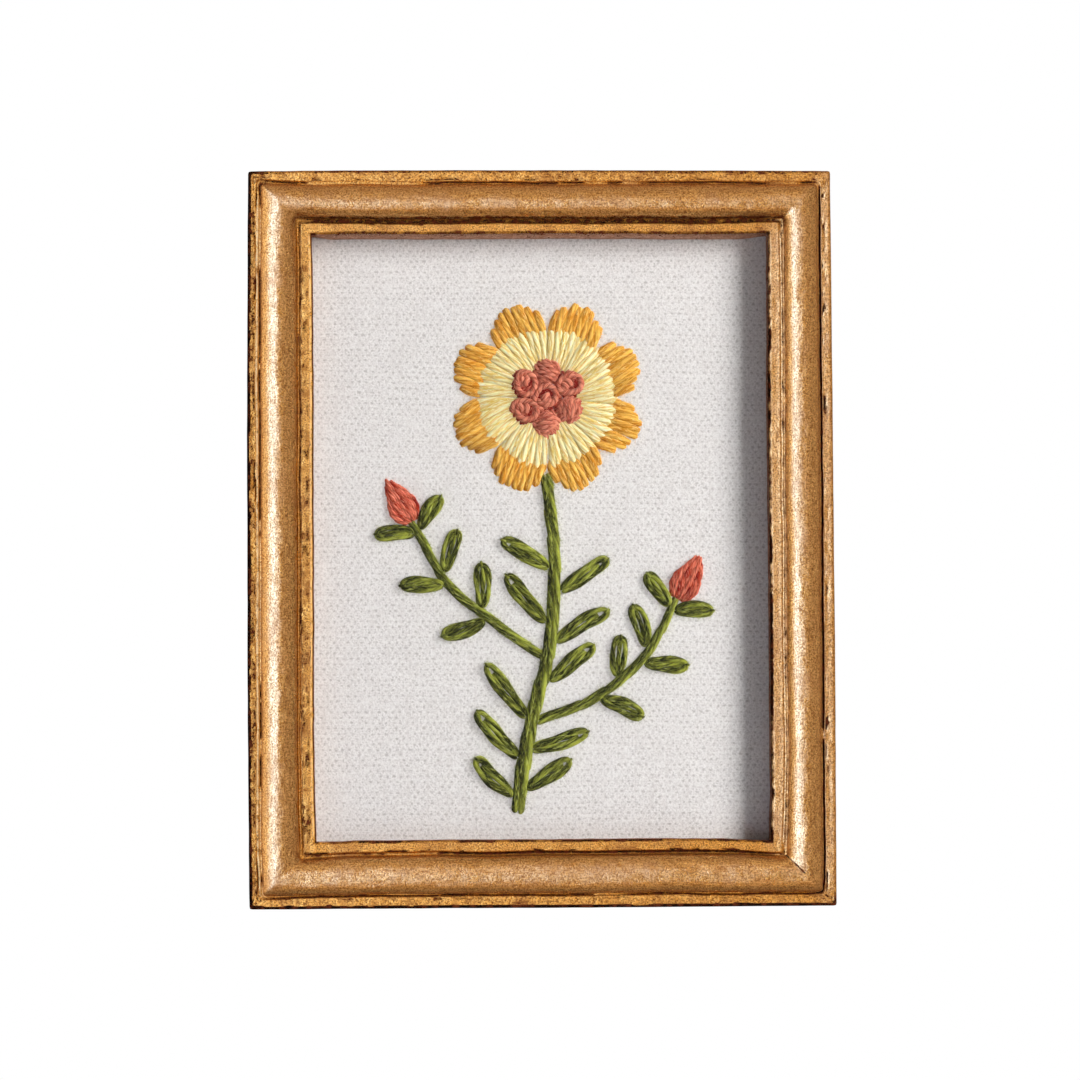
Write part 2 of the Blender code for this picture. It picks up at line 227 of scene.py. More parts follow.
# Each rail: where its zones end, in millimetres from its outer edge, where its bead is highest and how
# full it is (2: half an ellipse), how worn its cracks are, how much painted shade lies at the bead's two
# feet, how worn its two arrises are (below zero: rubbed pale; the right rail's sight arris and wall are
# painted shade), how far it bows out, how far its sight wall leans in, how dark its two ledges are, for
# soil and for painted shade (below zero: paler, for rubbed gilding and for painted light), and how much
# of a ridge stands in each of its grooves
RailRow = namedtuple("RailRow", "outward length reach start ledge bead_from bead_to groove sight "
                                "crest full crack_out crack_in foot_out foot_in rim lip bow flare "
                                "soil_out soil_in ridge_out ridge_in")
RAIL_ROWS = [
    RailRow((0, 1), FRAME_WIDTH, FRAME_HEIGHT / 2, 0.0, 2.20, 2.95, 10.50, 11.65, 13.63,
            0.60, 2.0, 0.60, 0.57, 0.05, 0.62, 0.45, 0.52, 0.20, 0.60, 0.0, 0.0, 0.0, 0.0),
    RailRow((1, 0), FRAME_HEIGHT, FRAME_WIDTH / 2, 127.0, 2.14, 2.95, 10.40, 11.05, 13.78,
            0.50, 2.25, 0.95, 0.00, 0.05, 0.30, 0.10, 1.00, 0.15, 0.0, -0.36, -0.33, 0.0, 0.0),
    RailRow((0, -1), FRAME_WIDTH, FRAME_HEIGHT / 2, 287.0, 2.50, 3.15, 11.30, 12.30, 14.55,
            0.42, 2.0, 0.52, 0.75, 0.38, 0.08, 1.40, 0.78, 0.00, 0.0, 0.0, 0.0, 0.0, 0.0),
    RailRow((-1, 0), FRAME_HEIGHT, FRAME_WIDTH / 2, 414.0, 1.55, 2.65, 10.40, 11.45, 14.02,
            0.50, 2.0, 0.65, 0.50, 0.00, 0.25, 1.00, -0.90, 0.28, 0.0, 0.23, 0.21, 1.0, 1.0),
]
ROUND_LENGTH = 2 * (FRAME_WIDTH + FRAME_HEIGHT)
OPEN_MITRE = {1: 1.0, 2: -1.0}  # the mitre that has opened a little: rail, and its end there
WEAR_AND_SHADE_FIELDS = ("crack_out", "crack_in", "foot_out", "foot_in", "rim", "lip", "soil_out", "soil_in",
               "ridge_out", "ridge_in")
CORNER_BLEND = 14.0 * MM
MARK_BLEND = 5.0 * MM
RAIL_STEP = 0.58 * MM
GROOVE_DEPTH = 0.45 * MM
CRACK_DEPTH = 0.55 * MM
ARRIS = 0.50 * MM
SEAT = 0.15 * MM  # the bead's feet and the inner ledge lie this far under the outer ledge

# Zones across a rail, the rounding that each takes at a mitre, and where lines are laid in each
OUTER_ZONE, CRACK_ZONE, BEAD_ZONE, GROOVE_ZONE, INNER_ZONE = range(5)
CORNER_ROUND = [size * MM for size in (0.5, 1.1, 0.9, 0.15, 0.2)]
BEAD_LINES = 30
ZONE_SHARES = (
    (0.0, 0.04, 0.10, 0.20, 0.32, 0.46, 0.60, 0.74, 0.86, 0.94),
    (0.0, 0.14, 0.32, 0.52, 0.70, 0.86),
    tuple(0.5 - 0.5 * math.cos(math.pi * k / BEAD_LINES) for k in range(BEAD_LINES)),
    (0.0, 0.16, 0.34, 0.52, 0.68, 0.84),
    (0.0, 0.07, 0.18, 0.32, 0.46, 0.60, 0.74, 0.86, 0.94, 1.0),
)

# The sight wall's lines: how far down it each is, and how dark
WALL_LINES = ((0.10, 1.0), (0.16, 0.8), (0.55, 0.45), (1.0, 0.35))


def arris_drop(edge):
    """How far a rounded arris lies under its ledge, from its edge (0) to the ledge (1)."""
    return ARRIS * (1 - np.sqrt(np.clip(1 - np.clip(1 - edge, 0, 1) ** 2, 0, 1)))


class Rail:
    """One rail: what runs along it, and the height and the wear of its front, zone by zone."""

    def __init__(self, index):
        self.index, self.row = index, RAIL_ROWS[index]
        row = self.row
        self.t = np.linspace(-1, 1, int(row.length / RAIL_STEP) + 1)
        self.s = row.start * MM + (self.t + 1) / 2 * row.length
        for field in WEAR_AND_SHADE_FIELDS:
            setattr(self, field, self.blend(field, MARK_BLEND))
        self.crest = math.log(0.5) / np.log(self.blend("crest"))
        self.full = self.blend("full")
        self.opened = np.clip(self.crack_out - 0.8, 0, 1)
        spread = 0.55 + self.opened * 6
        self.torn_near = smooth_step(0.15, 0.50, self.wave((1, 14, 5), (0.45, 2.6, 6)))
        self.torn_far = smooth_step(0.05, 0.35, self.wave((1, 12, 41), (0.50, 2.2, 42)))
        self.torn = smooth_step(-spread, 0.45 - spread, self.wave((1, 17, 43), (0.50, 3.1, 44)))
        self.torn_in = smooth_step(-0.55, 0.05, self.wave((1, 19, 7), (0.45, 2.7, 8)))
        self.wander = self.wave((0.6, 7, 45), (0.4, 1.9, 46))
        near, far = self.wave((0.12, 11, 1)), self.wave((0.14, 13, 3))
        bounds = (self.wave((0.05, 29, 9), (0.03, 4.1, 10)) - row.bow * (1 - self.t ** 2),
                  self.blend("ledge") + near + self.wave((0.05, 2.3, 2)),
                  self.blend("bead_from") + near,
                  self.blend("bead_to") + far,
                  self.blend("groove") + far + self.wave((0.06, 2.9, 4)),
                  self.blend("sight") + self.wave((0.10, 21, 11), (0.05, 3.7, 12)))
        self.bounds = [bound * MM for bound in bounds]

    def blend(self, field, reach=CORNER_BLEND):
        """A field along the rail: the rail's own in its middle, the mean of two rails at a mitre."""
        rails = [RAIL_ROWS[(self.index + step) % len(RAIL_ROWS)] for step in (-1, 0, 1)]
        before, own, after = (getattr(rail, field) for rail in rails)
        near_first = 1 - smooth_step(0, reach, (1 + self.t) / 2 * self.row.length)
        near_last = 1 - smooth_step(0, reach, (1 - self.t) / 2 * self.row.length)
        return own + ((own + before) / 2 - own) * near_first + ((own + after) / 2 - own) * near_last

    def wave(self, *rows):
        """Sum of noises along the rail; each row has a strength, a step in millimetres and a seed."""
        return sum(k * smooth_noise(self.s, step * MM, seed, ROUND_LENGTH) for k, step, seed in rows)

    def place(self, across, run):
        """x and z of points, from their distances to the rail's outer line and to its middle."""
        out_x, out_z = self.row.outward
        reach = self.row.reach - across
        return out_x * reach + out_z * run, CENTRE_Z + out_z * reach - out_x * run

    def outer_ledge(self, share, across, place):
        edge = (across - self.bounds[0]) / ARRIS
        chips = smooth_step(0.30, 0.70, plane_noise(self.s, across, (1, 5, 3.4, 22), (0.6, 3, 1.2, 23)))
        chips = chips * smooth_step(0.35, 1.0, share) * self.crack_out
        lowered = np.clip(-self.soil_out, 0, 1) * 0.33 * MM * share
        flecks = smooth_step(0.15, 0.75, plane_noise(self.s, across, (1, 14, 5.0, 47), (0.4, 6, 1.3, 48)))
        # Soil darkens the ledge, with flecks; below zero the ledge is paler: rubbed gilding, and painted
        # light on the right rail.
        dark = self.soil_out + np.clip(self.soil_out, 0, 1) * 1.1 * flecks
        mitre = 1 - smooth_step(0.5 * MM, 4.5 * MM, (1 - np.abs(self.t)) * self.row.length / 2)
        vein = np.abs(plane_noise(*place, (1, 1, 1.5, 51), (0.5, 1, 0.7, 52)))
        split = mitre * (1 - smooth_step(0.05, 0.22, vein))
        chipped = np.maximum(chips, 0.75 * split * smooth_step(0.10, 0.35, share))
        dark = np.where(chipped > 0.1, chipped, dark)
        rim = 1.10 + plane_noise(*place, (0.35, 1, 2.2, 28))
        worn = self.rim * (1.0 - smooth_step(rim, rim + 0.30, edge))
        rubbed = np.where(dark > 0.1, dark, np.minimum(worn, dark))
        depth = -arris_drop(edge) - 0.22 * MM * chips - lowered - 0.15 * MM * split
        return depth, np.where(worn < 0, rubbed, np.maximum(dark, worn))

    def crack(self, share, across, place):
        ridge, plain = self.ridge_out, 1 - self.ridge_out
        pair = bell(share, 0.12, 0.15) * self.torn_near + bell(share, 0.84, 0.16) * self.torn_far
        single = bell(share, 0.44 + 0.34 * self.wander * (1 - self.opened * 4), 0.26) * self.torn
        cut = np.clip(ridge * pair + plain * single, 0, 1)
        sunk = ridge * (1 - bell(share, 0.42, 0.26)) + plain * 0.8
        dark = self.crack_out * cut * 1.20 + 0.10 * plain * smooth_step(0.0, 0.5, share)
        depth = -0.18 * MM * sunk * smooth_step(-0.05, 0.3, share) - CRACK_DEPTH * self.crack_out * cut
        return depth, np.where(dark > 0.15, dark, dark - ridge * bell(share, 0.40, 0.24))

    def bead(self, share, across, place):
        side = np.abs(2 * share ** self.crest - 1)
        swell = np.clip(1 - side ** self.full, 0, 1) ** (1 / self.full)
        streak = plane_noise(self.s, across, (0.05, 6, 5.5, 24), (0.03, 3, 1.8, 25))
        # The dark at the bead's two feet is painted shade, where the bead meets the ledges.
        dark = smooth_step(0.72, 1.0, side) * (self.foot_out if share < 0.5 else self.foot_in)
        if share > 0.45 and self.index in OPEN_MITRE:
            at_mitre = np.abs(self.t - OPEN_MITRE[self.index]) < 1e-6
            dark = np.where(at_mitre, 0.75 - 0.45 * abs(share - 0.75), dark)
        return (BEAD_RISE + (0.05 + streak) * MM) * swell - SEAT, dark

    def groove(self, share, across, place):
        ridge, plain = self.ridge_in, 1 - self.ridge_in
        twin = bell(share, 0.0, 0.22) * 0.7 + bell(share, 0.78, 0.18)
        whole = smooth_step(-0.4, 0.35, share) * (1 - smooth_step(0.72, 1.05, share))
        shallow = 1 - 0.95 * np.clip(-self.soil_in / 0.3, 0, 1)
        sunk = ridge * min(1.0, twin) + plain * whole * shallow
        # The inner foot's mark is painted shade in the groove beside the bead; the cracks in it are worn
        # under-paint.
        pair = self.foot_in * bell(share, 0.0, 0.25) + self.crack_in * self.torn_in * bell(share, 0.78, 0.2)
        deep = (0.35 + 0.65 * self.torn_in) * self.crack_in * smooth_step(0.1, 0.5, share)
        depth = -0.12 * MM * shallow - (GROOVE_DEPTH + CRACK_DEPTH * self.crack_in) * sunk * 0.9
        return depth, ridge * pair + plain * np.maximum(self.foot_in, deep) * whole

    def inner_ledge(self, share, across, place):
        inset = (self.bounds[-1] - across) / ARRIS
        chips = smooth_step(0.35, 0.75, plane_noise(self.s, across, (1, 5, 2.6, 26), (0.6, 3, 1.0, 27)))
        chips = chips * (1 - smooth_step(0.0, 0.35, share)) * self.crack_in
        raised = np.clip(-self.soil_in, 0, 1) * 0.60 * MM * math.exp(-share / 0.28) * min(1, share / 0.07)
        flecks = smooth_step(0.20, 0.70, plane_noise(self.s, across, (1, 5, 4.0, 49), (0.5, 3, 1.3, 50)))
        # Soil darkens the ledge, with flecks; below zero the ledge is paler: rubbed gilding, and painted
        # light on the right rail.
        dark = self.soil_in + np.clip(self.soil_in, 0, 1) * 1.3 * flecks
        dark = np.where(chips > 0.1, chips, dark)
        rubbed = np.minimum(self.lip, 0) * bell(inset, 0.75, 0.45)
        # On the right rail this dark along the sight arris is painted shade; on the others it is wear down
        # to the under-paint.
        worn = np.maximum(self.lip, 0) * smooth_step(-1.6, -0.3, -inset)
        worn = worn * (0.45 + 0.55 * smooth_step(-0.3, 0.2, self.wander))
        dark = np.where(rubbed < -0.05, rubbed, np.maximum(dark, worn))
        depth = raised - SEAT - arris_drop(inset) - 0.18 * MM * chips
        return depth, np.where((self.lip < 0) & (inset < 0.36), 0.7, dark)

    def lines(self):
        """Lines along the rail, over its front, down the sight wall, across its back and up its side.

        Each has its distance from the outer line, its depth, its zone and its marks: dark, bead, bare.
        """
        zones = (self.outer_ledge, self.crack, self.bead, self.groove, self.inner_ledge)
        for zone, shares in enumerate(ZONE_SHARES):
            low, high = self.bounds[zone:zone + 2]
            # Ledges marked paler take the bead's colours: rubbed gilding, and painted light on the right
            # rail.
            pale = np.clip(-(self.soil_out if zone < BEAD_ZONE else self.soil_in), 0, 1) * 2.0
            for share in shares:
                across = low + (high - low) * share
                x, z = self.place(across, self.t * (self.row.length / 2 - across))
                place = (x, z - CENTRE_Z)
                depth, dark = zones[zone](share, across, place)
                fine = plane_noise(*place, (0.030, 1, 0.9, 20), (0.045, 1, 2.6, 21)) * MM
                bead = 1.0 if zone == BEAD_ZONE else pale
                yield across, LEDGE_DEPTH + fine + depth, zone, (dark, bead, 0.0)
        # On the right rail this dark on the sight wall is painted shade; on the others it is worn
        # under-paint at the sight edge.
        wall = np.where(self.lip < 0, 0.9, np.maximum(0.25, self.lip))
        for drop, shade in WALL_LINES:
            lean = self.row.flare * MM * drop * smooth_step(0.0, 0.1, 1 - np.abs(self.t))
            depth = LEDGE_DEPTH - (LEDGE_DEPTH - LIP_DEPTH) * drop
            yield self.bounds[-1] + lean, depth, INNER_ZONE, (wall * shade, 0.0, 0.5 if drop > 0.1 else 0.0)
        rabbet = np.full_like(self.t, RAIL_BACK_WIDTH)
        yield rabbet, LIP_DEPTH, OUTER_ZONE, (0.0, 0.0, 1.0)
        yield rabbet, 0.0, OUTER_ZONE, (0.0, 0.0, 1.0)
        yield self.bounds[0] + FIT_GAP, 0.0, OUTER_ZONE, (0.6, 0.0, 1.0)
        for rise in (0.02, 0.3, 0.65, 0.955):
            yield self.bounds[0], LEDGE_DEPTH * rise, OUTER_ZONE, (np.maximum(self.rim, 0.35), 0.0, 0.0)


def build_moulding():
    """The front of all four rails as one skin that turns the mitres, closed by plain sides and back."""
    verts, marks, grain, faces = [], [], [], []
    total = 0
    for rail in map(Rail, range(len(RAIL_ROWS))):
        t, half = rail.t, rail.row.length / 2
        starts = []
        for across, depth, zone, mark in rail.lines():
            rounding = CORNER_ROUND[zone]
            gap = (1 - np.abs(t)) * (half - across)
            across = across + rounding / 4 * np.clip(1 - gap / rounding, 0, 1) ** 2
            x, z = rail.place(across, t * (half - across))
            verts.append(np.stack([x, -depth * np.ones_like(x), z], 1))
            marks.append(np.stack([np.broadcast_to(m, x.shape) for m in mark], 1))
            grain.append(np.stack([rail.s * 100, across * 100], 1))
            starts.append(total)
            total += len(t)
        for near, far in zip(starts, starts[1:] + starts[:1]):
            faces += [(near + k, near + k + 1, far + k + 1, far + k) for k in range(len(t) - 1)]
    return weld(np.concatenate(verts), faces, np.concatenate(grain), np.concatenate(marks))


def weld(verts, faces, grain, marks):
    """Joins the rails' skins along the mitres, where their lines end on the same points."""
    keys = {}
    keep, new = [], np.empty(len(verts), int)
    for i, key in enumerate(map(tuple, np.round(verts / (0.002 * MM)).astype(int))):
        if key not in keys:
            keys[key] = len(keep)
            keep.append(i)
        new[i] = keys[key]
    faces = [tuple(dict.fromkeys(int(new[i]) for i in face)) for face in faces]
    return verts[keep], [face for face in faces if len(face) > 2], grain[keep], marks[keep]


def gilt_material():
    made = Shader("gilt_antique")
    dark, bead, bare = made.marks()
    here = made.place()
    along = made.grain()
    speck = made.noise(here, 2900, 2.0, 0.7)
    mottle = made.noise(here, 620, 3.0, 0.6)
    cloud = made.noise(here, 130, 3.0, 0.55)
    streak = made.noise(made.stretch(along, 2.4, 52.0), 1.0, 3.0, 0.6)
    vein = made.noise(made.stretch(along, 0.9, 12.0), 1.0, 3.0, 0.55)
    rear = made.steps(bare, 0.6, 0.9)
    wall = made.minus(made.steps(bare, 0.1, 0.4), rear)

    # Ledges: speckled, with darker patches and thin cracks along the rail
    gold = made.mix(made.steps(speck, 0.30, 0.66), tone(104, 56, 20), tone(243, 172, 74))
    gold = made.mix(made.steps(mottle, 0.40, 0.72, 0.0, 0.55), gold, tone(207, 137, 56))
    gold = made.mix(made.steps(cloud, 0.48, 0.72, 0.0, 0.45), gold, tone(150, 88, 40))

    # Bead: brushed along the rail, paler
    rubbed = made.mix(made.steps(streak, 0.30, 0.68), tone(206, 152, 88), tone(244, 196, 122))
    rubbed = made.mix(made.steps(speck, 0.32, 0.64, 0.90, 0.0), rubbed, tone(130, 80, 36))
    rubbed = made.mix(made.steps(cloud, 0.45, 0.75, 0.0, 0.35), rubbed, tone(190, 138, 84))
    gold = made.mix(bead, gold, rubbed)
    # Negative dark marks make the gilding paler and less metallic: rubbed gilding, and painted light on the
    # right rail's ledges.
    pale = made.times(dark, -2.4, clamp=True)
    gold = made.mix(made.times(pale, made.steps(mottle, 0.30, 0.55)), gold, tone(255, 204, 122))

    # Under-paint that shows in the grooves, on the rims and in the cracks; the same dark colour is also
    # painted shade at the bead's feet and on the right rail's sight arris and wall
    crack = made.maths("ABSOLUTE", made.minus(vein, 0.5))
    crack = made.times(made.steps(crack, 0.004, 0.022, 0.9, 0.0), made.steps(mottle, 0.46, 0.60))
    crack = made.times(made.times(crack, made.minus(1.0, bead)), made.steps(cloud, 0.42, 0.6))
    ragged = made.plus(speck, made.times(mottle, 0.7))
    broken = made.times(made.steps(ragged, 0.55, 1.15, -0.38, 0.38), made.steps(dark, 0.04, 0.25))
    cover = made.steps(made.plus(made.maths("MAXIMUM", dark, crack), broken), 0.28, 0.62)
    under = made.mix(made.steps(mottle, 0.42, 0.66), tone(30, 16, 11), tone(98, 48, 28))
    gold = made.mix(cover, gold, under)

    # Sight wall in matt paint, bare wood behind
    paint = made.mix(made.steps(mottle, 0.35, 0.70), tone(172, 124, 100), tone(226, 182, 156))
    paint = made.mix(cover, paint, under)
    wood_grain = made.noise(made.stretch(along, 1.2, 30.0), 1.0, 5.0, 0.6)
    wood = made.mix(made.steps(wood_grain, 0.35, 0.68), tone(150, 112, 74), tone(196, 160, 116))
    wood = made.mix(made.steps(cloud, 0.35, 0.7, 0.0, 0.35), wood, tone(120, 84, 54))
    matt = made.maths("MAXIMUM", made.maths("MAXIMUM", cover, bare), rear)
    metal = made.minus(1.0, made.steps(matt, 0.1, 0.5), clamp=True)
    metal = made.times(metal, made.steps(pale, 0.0, 1.0, 0.92, 0.55))
    made.feed(made.surface.inputs["Metallic"], metal)
    gloss = made.steps(made.plus(mottle, made.times(cloud, 0.8)), 0.72, 1.15, 0.22, 0.42)
    gloss = made.plus(gloss, made.times(made.minus(1.0, bead), 0.10))
    rows = {0: made.minus(1.0, metal), 2: gloss, 3: 0.72}
    made.feed(made.surface.inputs["Roughness"], made.node("ShaderNodeMix", rows, data_type="FLOAT"))
    relief = made.bump(streak, 0.25, 0.00005, made.bump(speck, 0.75, 0.00010))
    colour = made.mix(rear, made.mix(wall, gold, paint), wood)
    return made.finish(colour, made.bump(mottle, 0.22, 0.00012, relief), Specular_IOR_Level=0.0)


def build_frame():
    verts, faces, grain, marks = build_moulding()
    moulding = add_mesh("gilt_moulding", verts, faces, uvs=grain, colours=marks)
    moulding.data.materials.append(gilt_material())
    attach(moulding, "root")
    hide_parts("rail_top", "rail_bottom", "rail_left", "rail_right")
    return moulding


# Linen

WARP_PITCH = 0.741 * MM
WEFT_PITCH = 1.159 * MM
WEAVE_HEIGHT = 0.026 * MM


def build_linen():
    """Plain weave, two samples to each thread: crests where threads cross, holes between them."""
    width = FRAME_WIDTH - 2 * (RAIL_BACK_WIDTH + FIT_GAP)
    height = FRAME_HEIGHT - 2 * (RAIL_BACK_WIDTH + FIT_GAP)
    across = int(width / WARP_PITCH) * 2
    down = int(height / WEFT_PITCH) * 2
    p, q = np.meshgrid(np.arange(across + 1) / 2, np.arange(down + 1) / 2, indexing="ij")
    pitch_x, pitch_z = width / (across / 2), height / (down / 2)
    edge_x = np.minimum(p, across / 2 - p) / 6
    edge_z = np.minimum(q, down / 2 - q) / 6
    inside = np.clip(np.minimum(edge_x, edge_z), 0, 1)
    drift_x = 0.55 * smooth_noise_2d(p, q, 38, 31) + 0.06 * smooth_noise_2d(p * 3, q, 9, 32)
    drift_z = 0.60 * smooth_noise_2d(p, q, 44, 33) + 0.07 * smooth_noise_2d(p, q * 3, 8, 34)
    x = -width / 2 + (p + drift_x * inside) * pitch_x
    z = -height / 2 + (q + drift_z * inside) * pitch_z
    on_warp = (np.round(p * 2).astype(int) % 2) == 1
    on_weft = (np.round(q * 2).astype(int) % 2) == 1
    weft_over = (np.floor(p).astype(int) + np.floor(q).astype(int)) % 2 == 0
    crest = np.where(weft_over, 1.0, -1.0)
    rise = np.where(on_warp & on_weft, crest, np.where(on_weft, -0.10, 0.35))
    thick = 1 + 0.25 * smooth_noise_2d(np.floor(p) * 7.3, q, 5, 35) * on_warp
    thick = thick + 0.25 * smooth_noise_2d(p, np.floor(q) * 5.7, 6, 36) * on_weft
    lift = 0.10 * MM * smooth_noise_2d(x, z, 17 * MM, 37) + 0.05 * MM * smooth_noise_2d(x, z, 5 * MM, 38)
    front = LINEN_FRONT - 1.4 * WEAVE_HEIGHT + WEAVE_HEIGHT * rise * thick + lift * inside
    verts = np.stack([x, -front, CENTRE_Z + z], -1).reshape(-1, 3)
    uvs = np.stack([p, q], -1).reshape(-1, 2)
    columns = down + 1
    index = np.arange((across + 1) * columns).reshape(across + 1, columns)
    quads = np.stack([index[:-1, :-1], index[1:, :-1], index[1:, 1:], index[:-1, 1:]], -1).reshape(-1, 4)
    faces = [tuple(quad) for quad in quads.tolist()]
    rim = np.concatenate([index[:, 0], index[-1, 1:], index[-2::-1, -1], index[0, -2:0:-1]]).tolist()
    back = verts[rim].copy()
    back[:, 1] = -(LINEN_FRONT - LINEN_THICKNESS)
    base = len(verts)
    for k in range(len(rim)):
        after = (k + 1) % len(rim)
        faces.append((rim[k], base + k, base + after, rim[after]))
    faces.append(tuple(range(base, base + len(rim)))[::-1])
    linen = add_mesh("linen", np.concatenate([verts, back]), faces, uvs=np.concatenate([uvs, uvs[rim]]))
    linen.data.materials.append(linen_material())
    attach(linen, "root")
    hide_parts("linen_panel")
    return linen


def linen_material():
    """Threads laid like bricks, with painted shade in the small gaps between them, from the weave's own
    coordinates.
    """
    made = Shader("linen_weave")
    here, weave = made.place(), made.grain()
    u, v = made.node("ShaderNodeSeparateXYZ", {0: weave}).outputs[:2]

    def dots(x, y, width, height):
        """A soft dot round the middle of each cell."""
        wide = made.times(made.times(x, x), -width)
        return made.maths("EXPONENT", made.plus(wide, made.times(made.times(y, y), -height)))

    def cell(x):
        return made.minus(made.maths("FRACT", x), 0.5)

    jog = made.times(made.minus(made.noise(weave, 0.55, 1.0), 0.5), 0.5)
    pair = made.plus(made.times(made.plus(u, made.maths("FLOOR", v)), 0.5), -0.25)
    gap = dots(made.plus(cell(pair), jog), made.minus(cell(v), jog), 15.0, 17.0)
    between = dots(cell(u), cell(made.plus(v, 0.5)), 12.0, 24.0)
    fibre = made.noise(here, 2600, 2.0, 0.7)
    cloud = made.noise(here, 60, 3.0, 0.5)
    knot = made.noise(weave, 0.9, 2.0, 0.6)
    fleck = made.noise(weave, 1.7, 1.0, 0.5)
    slub = made.noise(made.stretch(weave, 0.9, 0.12), 1.0, 2.0, 0.5)
    slub_weft = made.noise(made.stretch(weave, 0.12, 0.9), 1.3, 2.0, 0.5)
    between = made.times(between, made.steps(fleck, 0.42, 0.62, 0.0, 0.55))
    # The gaps between threads are darkened in the colour below: painted shade in the weave's holes.
    sunk = made.maths("MAXIMUM", made.times(gap, made.steps(knot, 0.38, 0.62, 0.15, 1.0)), between)
    depth = made.minus(made.steps(fibre, 0.36, 0.64, 0.50, 1.0), sunk, clamp=True)
    colour = made.mix(depth, tone(198, 194, 191), tone(247, 245, 243))
    colour = made.mix(made.steps(slub, 0.50, 0.70, 0.0, 0.40), colour, tone(222, 218, 215))
    colour = made.mix(made.steps(slub_weft, 0.50, 0.70, 0.0, 0.40), colour, tone(247, 246, 244))
    colour = made.mix(made.steps(cloud, 0.35, 0.7, 0.0, 0.10), colour, tone(232, 228, 225))
    return made.finish(colour, made.bump(depth, 0.35, 0.00008), Roughness=0.95, Specular_IOR_Level=0.15,
                       Sheen_Weight=0.05)


# Wool

